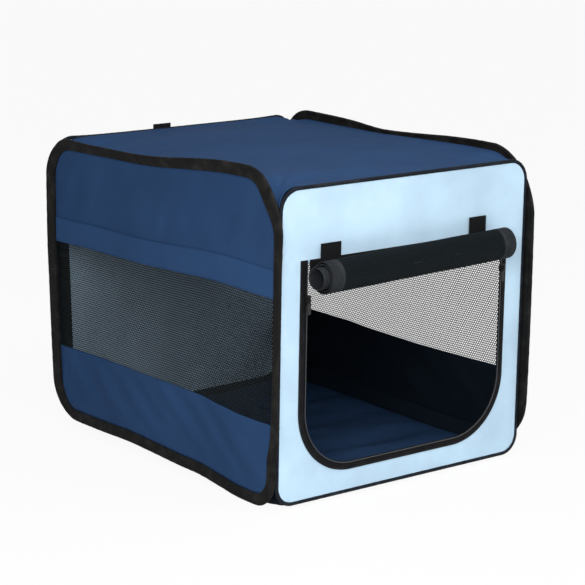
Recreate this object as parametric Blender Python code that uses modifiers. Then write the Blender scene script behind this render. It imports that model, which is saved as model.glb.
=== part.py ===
"""Soft folding dog crate: cloth walls on four closed spring-wire loops, in metres with +Z up.

The origin is the middle of the footprint on the ground. The door faces -Y. Every wall swings
about a vertical corner seam, so the four walls fold flat like a parallelogram.
"""
import math

import bmesh
import bpy
from mathutils import Matrix, Vector

# Size of the crate
FRONT_WIDTH = 0.528
CRATE_DEPTH = 0.626
FRONT_HEIGHT = 0.510
FRONT_LIFT = 0.0045
WALL_CORNER_HIGH = 0.045
WALL_CORNER_LOW = 0.034

# Cloth and the gap that sewn pieces keep
CLOTH = 0.0016
SEAM_GAP = 0.0003
CORNER_GAP = 0.0005
TAPE_CLOTH = 0.0010

# Spring wire, its crimp and the slit sleeve round them
WIRE_RADIUS = 0.0012
FERRULE_GAP = 0.00025
FERRULE_WALL = 0.0003
FERRULE_LENGTH = 0.024
BORE_GAP = 0.0003
SLEEVE_WALL = 0.00095
SLIT_CLEARANCE = 0.0003
PANEL_TUCK = 0.0008

# Side loops: the wide binding, its corners, and the way the loop stands taller at the front
BINDING_WIDTH = 0.020
BINDING_FLAP = 0.0010
SIDE_CORNER_REAR_LOW = 0.065
SIDE_CORNER_REAR_HIGH = 0.060
SIDE_CORNER_FRONT_HIGH = 0.080
SIDE_CORNER_FRONT_LOW = 0.050
LOOP_RISE_BACK = 0.0035
LOOP_RISE_FRONT = 0.0225
LOOP_BOTTOM_BACK = 0.018
LOOP_BOTTOM_FRONT = 0.0005
WAVE_BACK_SHARE = 0.160
WAVE_FRONT_SHARE = -0.607
SIDE_TUCK = 0.006
TUCK_FADE = 0.040
FIN_ASIDE = 0.0013
FIN_AHEAD = 0.0006
LEFT_FRONT_TILT = math.radians(45)
RIGHT_FRONT_TILT = math.radians(-15)
REAR_TILT = 0.0

# Side windows, measured down from the front wall's top and up from the ground
WINDOW_LOW = 0.143
WINDOW_DROP = 0.1785
HEM_WIDTH = 0.044
WINDOW_COLUMNS = 12
WINDOW_ROWS = 5
WINDOW_STRAND = 0.006

# Corner seam tapes
SEAM_TAPE_WIDTH = 0.020
SEAM_TAPE_MARGIN = 0.013

# Door opening, zip and mesh door
DOOR_MARGIN = 0.043
DOOR_SILL = 0.0395
DOOR_HEAD = 0.1175
DOOR_CORNER = 0.110
ZIP_TAPE_WIDTH = 0.014
ZIP_TAPE_OVERLAP = 0.006
COIL_INSET = 0.0125
COIL_RADIUS = 0.0011
CURTAIN_CLOTH = 0.0009
CURTAIN_LENGTH = 0.022

# Rolled door
ROLL_RADIUS = 0.028
ROLL_TURNS = 2.8
ROLL_PITCH = 0.0040
ROLL_CLOTH = 0.0018
ROLL_LEFT_MARGIN = 0.0185
ROLL_RIGHT_MARGIN = 0.033
ROLL_DROP = 0.0170
ROLL_SLOPE_SHARE = 0.026
ROLL_TAPE_WIDTH = 0.024
ROLL_PEEK = 0.012
PEEK_START_TURN = 1.7
PEEK_END_TURN = 2.0

# Zip sliders and pulls
SLIDER_WIDTH = 0.009
SLIDER_LENGTH = 0.012
SLIDER_HEIGHT = 0.0051
SLIDER_CLEARANCE = 0.0003
SLIDER_DROP = 0.062
BAIL_WIDTH = 0.002
BAIL_LENGTH = 0.0092
BAIL_WALL = 0.0013
BAIL_HOLE = 0.0026
BAIL_ROOT = 0.0008
PULL_WIDTH = 0.0066
PULL_LENGTH = 0.026
PULL_THICKNESS = 0.0012
PULL_BAR = 0.0016
PULL_ARM = 0.0016
PULL_SLOT = 0.0066
PULL_CORNER = 0.002

# Tabs that hold the roll
LEFT_TAB_WIDTH = 0.040
RIGHT_TAB_WIDTH = 0.036
LEFT_TAB_RISE = 0.023
RIGHT_TAB_RISE = 0.030
TAB_LENGTH = 0.048
TAB_CLOTH = 0.0020
TAB_CORNER = 0.006
LEFT_TAB_INSET = 0.059
RIGHT_TAB_INSET = 0.070

# Webbing tab on the back wall
REAR_TAB_WIDTH = 0.038
REAR_TAB_SHARE = -0.12
REAR_TAB_CLOTH = 0.0012
REAR_TAB_RISE = 0.006
REAR_TAB_DROP = 0.034

# Roof and floor cloth, and the mat
ROOF_CROWN = 0.003
FLOOR_CLOTH = 0.0030
FLOOR_EDGE = 0.018
MAT_INSET_SIDE = 0.024
MAT_INSET_END = 0.027
MAT_EDGE = 0.012
MAT_CROWN = 0.010
MAT_WAIST = 0.005
MAT_CORNER_SHARE = 0.05
MAT_FOLD_DEPTH = 0.004
MAT_FOLD_SHARES = (0.22, 0.46, 0.70, 0.86)

# Corner hinges: a closing corner turns inside the seam, an opening corner on its outer face
CLOSING_HINGE_INSET = 0.0042

# How finely shapes are stepped
ARC_STEPS = 6
RUN_STEPS = 12
UPRIGHT_STEPS = 2
PIPING_RUN_STEPS = 1
DOOR_ARC_STEPS = 8
ROLL_STEPS_PER_TURN = 14
CLOTH_CELLS = 16
MAT_CELLS_ACROSS = 8
MAT_CELLS_ALONG = 12
TUBE_SIDES = 8
WIRE_BEVEL_RESOLUTION = 1
QUARTER = math.pi / 2

# Sizes that follow from those above
FERRULE_RADIUS = WIRE_RADIUS + FERRULE_GAP + FERRULE_WALL
BORE_RADIUS = FERRULE_RADIUS + BORE_GAP
SLEEVE_RADIUS = BORE_RADIUS + SLEEVE_WALL
SLIT_HALF = CLOTH / 2 + SLIT_CLEARANCE
FLAP_HALF = SLIT_HALF + BINDING_FLAP
HALF_WIDTH = FRONT_WIDTH / 2
HALF_DEPTH = CRATE_DEPTH / 2
WALL_TOP = FRONT_LIFT + FRONT_HEIGHT
LOOP_TOP_BACK = WALL_TOP + LOOP_RISE_BACK
LOOP_TOP_FRONT = WALL_TOP + LOOP_RISE_FRONT
WAVE_BACK = HALF_DEPTH * WAVE_BACK_SHARE
WAVE_FRONT = HALF_DEPTH * WAVE_FRONT_SHARE
WINDOW_HIGH = WALL_TOP - WINDOW_DROP
HEM_HIGH = WINDOW_HIGH + HEM_WIDTH
SEAM_TAPE_LOW = FRONT_LIFT + WALL_CORNER_LOW + SEAM_TAPE_MARGIN
SEAM_TAPE_HIGH = WALL_TOP - WALL_CORNER_HIGH - SEAM_TAPE_MARGIN
DOOR_HALF = HALF_WIDTH - DOOR_MARGIN
DOOR_LOW = FRONT_LIFT + DOOR_SILL
DOOR_TOP = WALL_TOP - DOOR_HEAD
ROLL_LEFT = ROLL_LEFT_MARGIN - DOOR_HALF
ROLL_RIGHT = DOOR_HALF - ROLL_RIGHT_MARGIN
SLIDER_REST = DOOR_TOP - SLIDER_DROP
LEFT_TAB_TOP = DOOR_TOP + LEFT_TAB_RISE
RIGHT_TAB_TOP = DOOR_TOP + RIGHT_TAB_RISE
LEFT_TAB_PLACE = LEFT_TAB_INSET - DOOR_HALF
RIGHT_TAB_PLACE = DOOR_HALF - RIGHT_TAB_INSET
REAR_TAB_PLACE = HALF_WIDTH * REAR_TAB_SHARE
SIDE_PLANE = HALF_WIDTH + CORNER_GAP
SIDE_SEAM_LOW = (LOOP_BOTTOM_BACK + LOOP_BOTTOM_FRONT) / 2 + BINDING_WIDTH
SIDE_SEAM_HEIGHT = (LOOP_TOP_BACK + LOOP_TOP_FRONT) / 2 - BINDING_WIDTH - SIDE_SEAM_LOW
SIDE_INSET = FLAP_HALF + SEAM_GAP
ROOF_SEAM = WALL_TOP - SLEEVE_RADIUS / 2
FLOOR_END_RISE = FRONT_LIFT + SLEEVE_RADIUS - FLOOR_CLOTH
FRONT_FACE = HALF_DEPTH + CLOTH / 2
ZIP_FACE = FRONT_FACE + SEAM_GAP + TAPE_CLOTH
COIL_PLACE = DOOR_HALF - COIL_INSET
COIL_LAYER = ZIP_FACE + SEAM_GAP + COIL_RADIUS
CURTAIN_FACE = FRONT_FACE + SEAM_GAP + CURTAIN_CLOTH
TAB_FACE = CURTAIN_FACE + SEAM_GAP + TAB_CLOTH
ROLL_LAYER = COIL_LAYER + COIL_RADIUS + SEAM_GAP + ROLL_RADIUS
ROLL_HEIGHT = DOOR_TOP - ROLL_DROP
SLIDER_BACK = ZIP_FACE + SEAM_GAP
SLIDER_FACE = SLIDER_BACK + SLIDER_HEIGHT
PULL_LAYER = SLIDER_FACE + BAIL_HOLE / 2
PULL_HEIGHT = SLIDER_REST + BAIL_LENGTH / 2 - 2 * BAIL_WALL
ROOF_HALF = SIDE_PLANE - FLAP_HALF - SEAM_GAP
ROOF_HALF_DEPTH = HALF_DEPTH - SLEEVE_RADIUS - SEAM_GAP
OPENING_HINGE = HALF_DEPTH + FLAP_HALF
CLOSING_HINGE = HALF_DEPTH - CLOSING_HINGE_INSET

# Corner radii at positive low, positive high, negative high and negative low
END_CORNERS = (WALL_CORNER_LOW, WALL_CORNER_HIGH, WALL_CORNER_HIGH, WALL_CORNER_LOW)
SIDE_CORNERS = (SIDE_CORNER_REAR_LOW, SIDE_CORNER_REAR_HIGH, SIDE_CORNER_FRONT_HIGH, SIDE_CORNER_FRONT_LOW)

# Colour, roughness and metallic value of each finish
FINISHES = {
    "pale blue cloth": ((0.56, 0.80, 0.93), 0.80, 0.0),
    "navy cloth": ((0.026, 0.065, 0.160), 0.75, 0.0),
    "black binding": ((0.016, 0.015, 0.015), 0.70, 0.0),
    "black mesh": ((0.030, 0.032, 0.034), 0.60, 0.0),
    "grey tape": ((0.180, 0.180, 0.185), 0.70, 0.0),
    "spring steel": ((0.420, 0.420, 0.430), 0.30, 1.0),
    "black enamel": ((0.012, 0.012, 0.013), 0.35, 0.6),
}


def new_collection(name):
    """A collection linked to the scene."""
    collection = bpy.data.collections.new(name)
    bpy.context.scene.collection.children.link(collection)
    return collection


def clear_scene():
    """Remove what a new scene starts with."""
    for item in list(bpy.data.objects):
        bpy.data.objects.remove(item, do_unlink=True)


def smooth(share):
    """Eased ramp from 0 to 1."""
    share = min(max(share, 0.0), 1.0)
    return share * share * (3.0 - 2.0 * share)


def blend(low, high, share):
    """The value that lies a share of the way from low to high."""
    return low + (high - low) * share


def finish_material(piece, finish):
    """Give a piece its own material with the colour and gloss of a finish."""
    colour, roughness, metallic = FINISHES[finish]
    material = bpy.data.materials.new(f"{piece.name} {finish}")
    material.use_nodes = True
    shader = material.node_tree.nodes["Principled BSDF"]
    shader.inputs["Base Color"].default_value = (*colour, 1.0)
    shader.inputs["Roughness"].default_value = roughness
    shader.inputs["Metallic"].default_value = metallic
    piece.data.materials.append(material)


def add_piece(name, data, finish, body):
    """Put world-space data in an object that turns with a body's empty."""
    piece = bpy.data.objects.new(name, data)
    data.transform(Matrix.Translation(-body.matrix_world.translation))
    piece.parent = body
    PARTS.objects.link(piece)
    finish_material(piece, finish)
    return piece


def add_cutter(name, data):
    """A hidden solid that cuts or joins another."""
    cutter = bpy.data.objects.new(name, data)
    cutter.hide_render = True
    cutter.display_type = "WIRE"
    CUTTERS.objects.link(cutter)
    return cutter


def add_body(name, pivot, carrier=None):
    """An empty on a body's joint axis, carried by another body."""
    body = bpy.data.objects.new(name, None)
    PARTS.objects.link(body)
    start = Vector((0, 0, 0))
    if carrier:
        body.parent = carrier
        start = carrier.matrix_world.translation
    body.location = Vector(pivot) - start
    bpy.context.view_layer.update()
    return body


def mesh_from(bm, name, angle=math.radians(40)):
    """Finish a bmesh as a smooth-shaded mesh with sharp edges past an angle."""
    if all(edge.is_manifold for edge in bm.edges):
        bmesh.ops.recalc_face_normals(bm, faces=bm.faces)
    mesh = bpy.data.meshes.new(name)
    bm.to_mesh(mesh)
    bm.free()
    mesh.shade_smooth()
    mesh.set_sharp_from_angle(angle=angle)
    return mesh


def mesh_of_curve(curve, name, placing):
    """The curve's mesh with its caps welded, placed in the world."""
    holder = bpy.data.objects.new(name, curve)
    bpy.context.scene.collection.objects.link(holder)
    bpy.context.view_layer.update()
    evaluated = holder.evaluated_get(bpy.context.evaluated_depsgraph_get())
    mesh = bpy.data.meshes.new_from_object(evaluated)
    mesh.transform(placing)
    bm = bmesh.new()
    bm.from_mesh(mesh)
    bmesh.ops.remove_doubles(bm, verts=bm.verts, dist=SEAM_GAP / 10)
    bpy.data.objects.remove(holder, do_unlink=True)
    bpy.data.curves.remove(curve)
    bpy.data.meshes.remove(mesh)
    return mesh_from(bm, name)


def flat_sheet(name, outlines, thickness, placing):
    """A flat outline, with any holes, of the given thickness; its middle lies on the placing's plane."""
    curve = bpy.data.curves.new(name, "CURVE")
    curve.dimensions = "2D"
    curve.fill_mode = "BOTH"
    curve.extrude = thickness / 2
    for outline in outlines:
        spline = curve.splines.new("POLY")
        spline.points.add(len(outline) - 1)
        spline.use_cyclic_u = True
        for point, (across, up) in zip(spline.points, outline):
            point.co = (across, up, 0, 1)
    return mesh_of_curve(curve, name, placing)


def wire_curve(name, points, radius, closed):
    """A round wire through points, as a curve with a bevel."""
    curve = bpy.data.curves.new(name, "CURVE")
    curve.dimensions = "3D"
    curve.bevel_depth = radius
    curve.bevel_resolution = WIRE_BEVEL_RESOLUTION
    curve.use_fill_caps = True
    spline = curve.splines.new("POLY")
    spline.points.add(len(points) - 1)
    spline.use_cyclic_u = closed
    for point, place in zip(spline.points, points):
        point.co = (*place, 1)
    return curve


def facing_front(layer):
    """Placing that stands a flat outline across the crate, facing the front, at a depth."""
    return Matrix(((1, 0, 0, 0), (0, 0, -1, layer), (0, 1, 0, 0), (0, 0, 0, 1)))


def facing_right(layer):
    """Placing that stands a flat outline along the crate, facing the right, at a place across."""
    return Matrix(((0, 0, 1, layer), (1, 0, 0, 0), (0, 1, 0, 0), (0, 0, 0, 1)))


def block(name, low, high):
    """A mesh box between two corners."""
    bm = bmesh.new()
    bmesh.ops.create_cube(bm, size=1)
    size = Vector(high) - Vector(low)
    middle = (Vector(high) + Vector(low)) / 2
    bmesh.ops.scale(bm, vec=size, verts=bm.verts)
    bmesh.ops.translate(bm, vec=middle, verts=bm.verts)
    return mesh_from(bm, name)


def rounded_loop(half_width, low, high, radii, run_steps, upright_steps):
    """Stations round an upright rectangle, whose round corners have the given four radii.

    Each is (across, up, outward angle, uprightness), where uprightness is 0 on the top and
    bottom runs and 1 on the uprights.
    """
    centres = (
        (half_width - radii[0], low + radii[0]),
        (half_width - radii[1], high - radii[1]),
        (radii[2] - half_width, high - radii[2]),
        (radii[3] - half_width, low + radii[3]),
    )
    stations = []
    for corner, (centre, radius) in enumerate(zip(centres, radii)):
        angle = (corner - 1) * QUARTER
        start = Vector(centres[corner - 1]) + Vector(polar(radii[corner - 1], angle))
        end = Vector(centre) + Vector(polar(radius, angle))
        on_upright = corner % 2
        steps = upright_steps if on_upright else run_steps
        for step in range(steps):
            across, up = start.lerp(end, step / steps)
            stations.append((across, up, angle, float(on_upright)))
        for step in range(ARC_STEPS):
            share = step / ARC_STEPS
            turn = angle + share * QUARTER
            upright = 1.0 - smooth(share) if on_upright else smooth(share)
            across = centre[0] + radius * math.cos(turn)
            up = centre[1] + radius * math.sin(turn)
            stations.append((across, up, turn, upright))
    return stations


def arc(start, end, count):
    """Angles evenly spaced from start to end, both included."""
    return [blend(start, end, step / (count - 1)) for step in range(count)]


def sleeve_section(flap_length):
    """Outline of a slit sleeve as (out, aside) from the middle of its bore; the slit faces inwards."""
    bore_mouth = math.pi - math.asin(SLIT_HALF / BORE_RADIUS)
    if flap_length:
        outer_mouth = math.radians(118)
        outer = [(-flap_length, FLAP_HALF)]
        outer += [polar(SLEEVE_RADIUS, turn) for turn in arc(outer_mouth, -outer_mouth, TUBE_SIDES - 2)]
        outer += [(-flap_length, -FLAP_HALF), (-flap_length, -SLIT_HALF)]
        closing = [(-flap_length, SLIT_HALF)]
    else:
        outer_mouth = math.pi - math.asin(SLIT_HALF / SLEEVE_RADIUS)
        outer = [polar(SLEEVE_RADIUS, turn) for turn in arc(outer_mouth, -outer_mouth, TUBE_SIDES)]
        closing = []
    bore = [polar(BORE_RADIUS, turn) for turn in arc(-bore_mouth, bore_mouth, TUBE_SIDES)]
    return outer + bore + closing


def polar(radius, angle):
    """The point at a radius and an angle."""
    return radius * math.cos(angle), radius * math.sin(angle)


def loft_loop(name, section, frames):
    """A closed loop of one section carried along frames of (middle, out, aside)."""
    bm = bmesh.new()
    rings = []
    for middle, out, aside in frames:
        rings.append([bm.verts.new(middle + out * reach + aside * across) for reach, across in section])
    for index, ring in enumerate(rings):
        ahead = rings[(index + 1) % len(rings)]
        for side in range(len(section)):
            after = (side + 1) % len(section)
            bm.faces.new((ring[side], ring[after], ahead[after], ahead[side]))
    return mesh_from(bm, name)


def ferrule_mesh(name, start, end):
    """The crimped tube that closes a wire loop, on the straight between two points."""
    bm = bmesh.new()
    bmesh.ops.create_cone(
        bm,
        cap_ends=False,
        segments=TUBE_SIDES,
        radius1=FERRULE_RADIUS - FERRULE_WALL / 2,
        radius2=FERRULE_RADIUS - FERRULE_WALL / 2,
        depth=FERRULE_LENGTH,
    )
    along = (end - start).to_track_quat("Z", "Y").to_matrix().to_4x4()
    bmesh.ops.transform(bm, matrix=Matrix.Translation((start + end) / 2) @ along, verts=bm.verts)
    return mesh_from(bm, name)


def thicken(piece, thickness, offset):
    """Give an open surface a wall."""
    solidify = piece.modifiers.new("wall", "SOLIDIFY")
    solidify.thickness = thickness
    solidify.offset = offset


def add_wire_and_ferrule(prefix, path, body):
    """A closed wire loop and the crimp on the middle of its first run."""
    add_piece(f"{prefix}_wire", wire_curve(f"{prefix}_wire", path, WIRE_RADIUS, True), "spring steel", body)
    middle = RUN_STEPS // 2 if len(path) > 4 * (ARC_STEPS + UPRIGHT_STEPS) else 0
    ferrule = ferrule_mesh(f"{prefix}_wire_ferrule", Vector(path[middle]), Vector(path[middle + 1]))
    thicken(add_piece(f"{prefix}_wire_ferrule", ferrule, "spring steel", body), FERRULE_WALL, 0)


# Front and back walls

def end_wall_loop(inset):
    """Stations round the front or back wall, drawn in from its outer edge."""
    return rounded_loop(
        HALF_WIDTH - inset,
        FRONT_LIFT + inset,
        WALL_TOP - inset,
        [corner - inset for corner in END_CORNERS],
        PIPING_RUN_STEPS,
        PIPING_RUN_STEPS,
    )


def door_outline(inset, top):
    """The door opening from its top left corner round the bottom to its top right corner."""
    half = DOOR_HALF - inset
    low = DOOR_LOW + inset
    radius = DOOR_CORNER - inset
    outline = [(-half, top)]
    for side, start, end in ((-1, math.pi, 1.5 * math.pi), (1, 1.5 * math.pi, 2 * math.pi)):
        for turn in arc(start, end, DOOR_ARC_STEPS + 1):
            across, up = polar(radius, turn)
            outline.append((side * (half - radius) + across, low + radius + up))
    outline.append((half, top))
    return outline


def end_wall(prefix, side, body, holes, finish):
    """The cloth, piping, wire and seam tapes of the front (side -1) or back (side 1) wall."""
    layer = side * HALF_DEPTH
    tucked = end_wall_loop(SLEEVE_RADIUS + BORE_RADIUS + PANEL_TUCK / 2)
    edge = [(across, up) for across, up, angle, upright in tucked]
    cloth = flat_sheet(f"{prefix}_panel", [edge] + holes, CLOTH, facing_front(layer))
    add_piece(f"{prefix}_panel", cloth, finish, body)

    frames = []
    for across, up, angle, upright in end_wall_loop(SLEEVE_RADIUS):
        out = Vector((math.cos(angle), 0, math.sin(angle)))
        frames.append((Vector((across, layer, up)), out, Vector((0, 1, 0))))
    piping = loft_loop(f"{prefix}_piping", sleeve_section(0), frames)
    add_piece(f"{prefix}_piping", piping, "black binding", body)
    add_wire_and_ferrule(prefix, [tuple(middle) for middle, out, aside in frames], body)

    inner = HALF_WIDTH - 2 * SLEEVE_RADIUS - SEAM_GAP
    tape_layer = layer - side * (CLOTH / 2 + SEAM_GAP + TAPE_CLOTH / 2)
    for word, hand in (("left", -1), ("right", 1)):
        outline = [
            (hand * inner, SEAM_TAPE_LOW),
            (hand * (inner - SEAM_TAPE_WIDTH), SEAM_TAPE_LOW),
            (hand * (inner - SEAM_TAPE_WIDTH), SEAM_TAPE_HIGH),
            (hand * inner, SEAM_TAPE_HIGH),
        ]
        name = f"{prefix}_{word}_seam_tape"
        tape = flat_sheet(name, [outline], TAPE_CLOTH, facing_front(tape_layer))
        add_piece(name, tape, "black binding", body)


def rear_tab(body):
    """Webbing sewn to the back wall, which stands over the top piping."""
    hug = SLEEVE_RADIUS + SEAM_GAP + REAR_TAB_CLOTH / 2
    flat_layer = HALF_DEPTH + CLOTH / 2 + SEAM_GAP + REAR_TAB_CLOTH / 2
    middle = WALL_TOP - SLEEVE_RADIUS
    start_turn = -math.acos((flat_layer - HALF_DEPTH) / hug)
    path = [(flat_layer, middle - REAR_TAB_DROP)]
    path += [
        (HALF_DEPTH + hug * math.cos(turn), middle + hug * math.sin(turn))
        for turn in arc(start_turn, QUARTER / 2, ARC_STEPS)
    ]
    path.append((HALF_DEPTH + hug * math.cos(QUARTER / 2), WALL_TOP + REAR_TAB_RISE))

    bm = bmesh.new()
    rows = []
    for across in (REAR_TAB_PLACE - REAR_TAB_WIDTH / 2, REAR_TAB_PLACE + REAR_TAB_WIDTH / 2):
        rows.append([bm.verts.new((across, depth, up)) for depth, up in path])
    for index in range(len(path) - 1):
        bm.faces.new((rows[0][index], rows[1][index], rows[1][index + 1], rows[0][index + 1]))
    tab = add_piece("rear_tab", mesh_from(bm, "rear_tab"), "black binding", body)
    thicken(tab, REAR_TAB_CLOTH, 0)


# Sides

def side_height(depth, flat_height):
    """Real height of a point of a side wall: the loop stands taller towards the front."""
    forward = smooth((WAVE_BACK - depth) / (WAVE_BACK - WAVE_FRONT))
    low = blend(LOOP_BOTTOM_BACK, LOOP_BOTTOM_FRONT, forward) + BINDING_WIDTH
    high = blend(LOOP_TOP_BACK, LOOP_TOP_FRONT, forward) - BINDING_WIDTH
    return blend(low, high, flat_height / SIDE_SEAM_HEIGHT)


def side_frames(hand):
    """Bore middles of a side's binding, with the way out and the way aside at each station."""
    stations = rounded_loop(HALF_DEPTH, 0, SIDE_SEAM_HEIGHT, SIDE_CORNERS, RUN_STEPS, UPRIGHT_STEPS)
    front_tilt = LEFT_FRONT_TILT if hand < 0 else RIGHT_FRONT_TILT
    frames = []
    for depth, flat, angle, upright in stations:
        aside_of_corner = hand * (SIDE_PLANE + FIN_ASIDE * upright)
        past_corner = depth + math.copysign(FIN_AHEAD * upright, depth)
        seat = Vector((aside_of_corner, past_corner, side_height(depth, flat)))
        in_plane = Vector((0, math.cos(angle), math.sin(angle)))
        tilt = front_tilt if depth < 0 else REAR_TILT
        fin = Vector((hand * math.cos(tilt), math.copysign(math.sin(tilt), depth), 0))
        lean = upright * QUARTER
        out = (in_plane * math.cos(lean) + fin * math.sin(lean)).normalized()
        along = Vector((0, -math.sin(angle), math.cos(angle)))
        aside = out.cross(along).normalized()
        frames.append((seat + out * (BINDING_WIDTH - SLEEVE_RADIUS), out, aside))
    return frames


def side_corner(depth, high):
    """Radius of the side seam's upper or lower corner, on the same half of the crate as a depth."""
    if depth < 0:
        return SIDE_CORNER_FRONT_HIGH if high else SIDE_CORNER_FRONT_LOW
    return SIDE_CORNER_REAR_HIGH if high else SIDE_CORNER_REAR_LOW


def side_edge():
    """Flat outline of a side's cloth: tucked into the binding above and below, short of it at the uprights."""
    outline = []
    for depth, flat, angle, upright in rounded_loop(
        HALF_DEPTH, 0, SIDE_SEAM_HEIGHT, SIDE_CORNERS, RUN_STEPS, UPRIGHT_STEPS
    ):
        straight = HALF_DEPTH - side_corner(depth, flat > SIDE_SEAM_HEIGHT / 2)
        tuck = blend(SIDE_TUCK, -SIDE_INSET, smooth((abs(depth) - straight + TUCK_FADE) / TUCK_FADE))
        outline.append((depth + tuck * math.cos(angle), flat + tuck * math.sin(angle)))
    return outline


def side_sheet(name, flat_outline, thickness, layer):
    """A flat sheet of a side, with its heights carried up the wave."""
    outline = [(depth, side_height(depth, flat)) for depth, flat in flat_outline]
    return flat_sheet(name, [outline], thickness, facing_right(layer))


def level_run(flat, reach, leftwards):
    """Points of a level cut across a side, from one end to the other, at the edges of the net's strands."""
    depths = strand_edges(-reach, reach, WINDOW_COLUMNS)
    return [(depth, flat) for depth in (reversed(depths) if leftwards else depths)]


def strand_edges(start, end, openings):
    """Edges of a net's strands between two places, where a strand also runs along each end."""
    pitch = (end - start - WINDOW_STRAND) / openings
    return [start + index // 2 * pitch + index % 2 * WINDOW_STRAND for index in range(2 * openings + 2)]


def mesh_window(name, reach, low, high, layer, body):
    """A side window: a plain net of strands, whose heights are carried up the wave."""
    depths = strand_edges(-reach, reach, WINDOW_COLUMNS)
    flats = strand_edges(low, high, WINDOW_ROWS)
    columns = len(depths) - 1
    rows = len(flats) - 1
    bm = bmesh.new()
    bmesh.ops.create_grid(bm, x_segments=columns, y_segments=rows, size=1)
    openings = []
    for face in bm.faces:
        middle = face.calc_center_median()
        if int((middle.x + 1) / 2 * columns) % 2 and int((middle.y + 1) / 2 * rows) % 2:
            openings.append(face)
    bmesh.ops.delete(bm, geom=openings, context="FACES")
    for vert in bm.verts:
        depth = depths[round((vert.co.x + 1) / 2 * columns)]
        flat = flats[round((vert.co.y + 1) / 2 * rows)]
        vert.co = (layer, depth, side_height(depth, flat))
    thicken(add_piece(name, mesh_from(bm, name), "black mesh", body), CLOTH, 0)


def side_wall(prefix, hand, body):
    """Everything on one side's loop; hand is -1 on the left and 1 on the right."""
    reach = HALF_DEPTH - SIDE_INSET
    layer = hand * SIDE_PLANE
    low_cut = WINDOW_LOW - SIDE_SEAM_LOW
    high_cut = WINDOW_HIGH - SIDE_SEAM_LOW
    edge = side_edge()
    middle = (low_cut + high_cut) / 2

    upper = [point for point in edge if point[1] > middle]
    upper = level_run(high_cut + SEAM_GAP, reach, False) + upper
    lower = [point for point in edge if point[1] < middle]
    lower = start_at_left(lower) + level_run(low_cut - SEAM_GAP, reach, True)
    hem = level_run(high_cut, reach, False) + level_run(high_cut + HEM_WIDTH, reach, True)
    hem_layer = layer + hand * (CLOTH / 2 + SEAM_GAP + TAPE_CLOTH / 2)

    for word, outline, thickness, plane in (
        ("upper_panel", upper, CLOTH, layer),
        ("window_hem", hem, TAPE_CLOTH, hem_layer),
        ("lower_panel", lower, CLOTH, layer),
    ):
        name = f"{prefix}_{word}"
        add_piece(name, side_sheet(name, outline, thickness, plane), "navy cloth", body)
    mesh_window(f"{prefix}_mesh_window", reach, low_cut, high_cut, layer, body)

    frames = side_frames(hand)
    section = sleeve_section(BINDING_WIDTH - SLEEVE_RADIUS)
    binding = loft_loop(f"{prefix}_binding", section, frames)
    add_piece(f"{prefix}_binding", binding, "black binding", body)
    add_wire_and_ferrule(prefix, [tuple(place) for place, out, aside in frames], body)


def start_at_left(outline):
    """The same closed outline, starting at its highest point on the left."""
    on_left = [index for index, point in enumerate(outline) if point[0] < 0]
    first = max(on_left, key=lambda index: outline[index][1])
    return outline[first:] + outline[:first]


# Door, zip and tabs

def zip_and_curtain(body):
    """The zip's tape and coil on the front wall, and the door cloth above the roll."""
    tape = door_outline(0, DOOR_TOP) + door_outline(ZIP_TAPE_WIDTH, DOOR_TOP)[::-1]
    tape = flat_sheet("door_zip_tape", [tape], TAPE_CLOTH, facing_front(TAPE_CLOTH / 2 - ZIP_FACE))
    add_piece("door_zip_tape", tape, "black binding", body)

    route = [(across, -COIL_LAYER, up) for across, up in door_outline(COIL_INSET, DOOR_TOP)]
    add_piece("door_zip_coil", wire_curve("door_zip_coil", route, COIL_RADIUS, False), "black binding", body)

    curtain = block(
        "door_curtain",
        (ROLL_LEFT, -CURTAIN_FACE, DOOR_TOP - CURTAIN_LENGTH),
        (ROLL_RIGHT, CURTAIN_CLOTH - CURTAIN_FACE, DOOR_TOP),
    )
    add_piece("door_curtain", curtain, "black mesh", body)


def roll_point(turn):
    """Depth and height of the rolled cloth's middle after some turns from its outer end at the back."""
    radius = ROLL_RADIUS - ROLL_CLOTH / 2 - ROLL_PITCH * turn
    angle = 4 * QUARTER * turn
    return radius * math.cos(angle) - ROLL_LAYER, ROLL_HEIGHT - radius * math.sin(angle)


def roll_peek(turn):
    """How far the inner turns stand out of the roll's left end."""
    return ROLL_PEEK * smooth((turn - PEEK_START_TURN) / (PEEK_END_TURN - PEEK_START_TURN))


def rolled_band(name, left, right, finish, body):
    """A band of the rolled door between two places across, each (place, moves out with the inner turns).

    The roll hangs lower towards the left.
    """
    steps = round(ROLL_TURNS * ROLL_STEPS_PER_TURN)
    bm = bmesh.new()
    rows = []
    for step in range(steps + 1):
        turn = ROLL_TURNS * step / steps
        depth, up = roll_point(turn)
        row = []
        for place, shifts in (left, right):
            across = place - roll_peek(turn) * shifts
            row.append(bm.verts.new((across, depth, up + across * ROLL_SLOPE_SHARE)))
        rows.append(row)
    for row, ahead in zip(rows, rows[1:]):
        bm.faces.new((row[0], row[1], ahead[1], ahead[0]))
    thicken(add_piece(name, mesh_from(bm, name), finish, body), ROLL_CLOTH, 0)


def rolled_door(body):
    """The mesh door, rolled up with its edge tapes."""
    left_seam = ROLL_LEFT + ROLL_TAPE_WIDTH
    right_seam = ROLL_RIGHT - ROLL_TAPE_WIDTH
    rolled_band("door_roll_left_tape", (ROLL_LEFT, 1), (left_seam - SEAM_GAP, 1), "grey tape", body)
    rolled_band("door_roll", (left_seam, 1), (right_seam, 0), "black mesh", body)
    rolled_band("door_roll_right_tape", (right_seam + SEAM_GAP, 0), (ROLL_RIGHT, 0), "grey tape", body)


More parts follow.
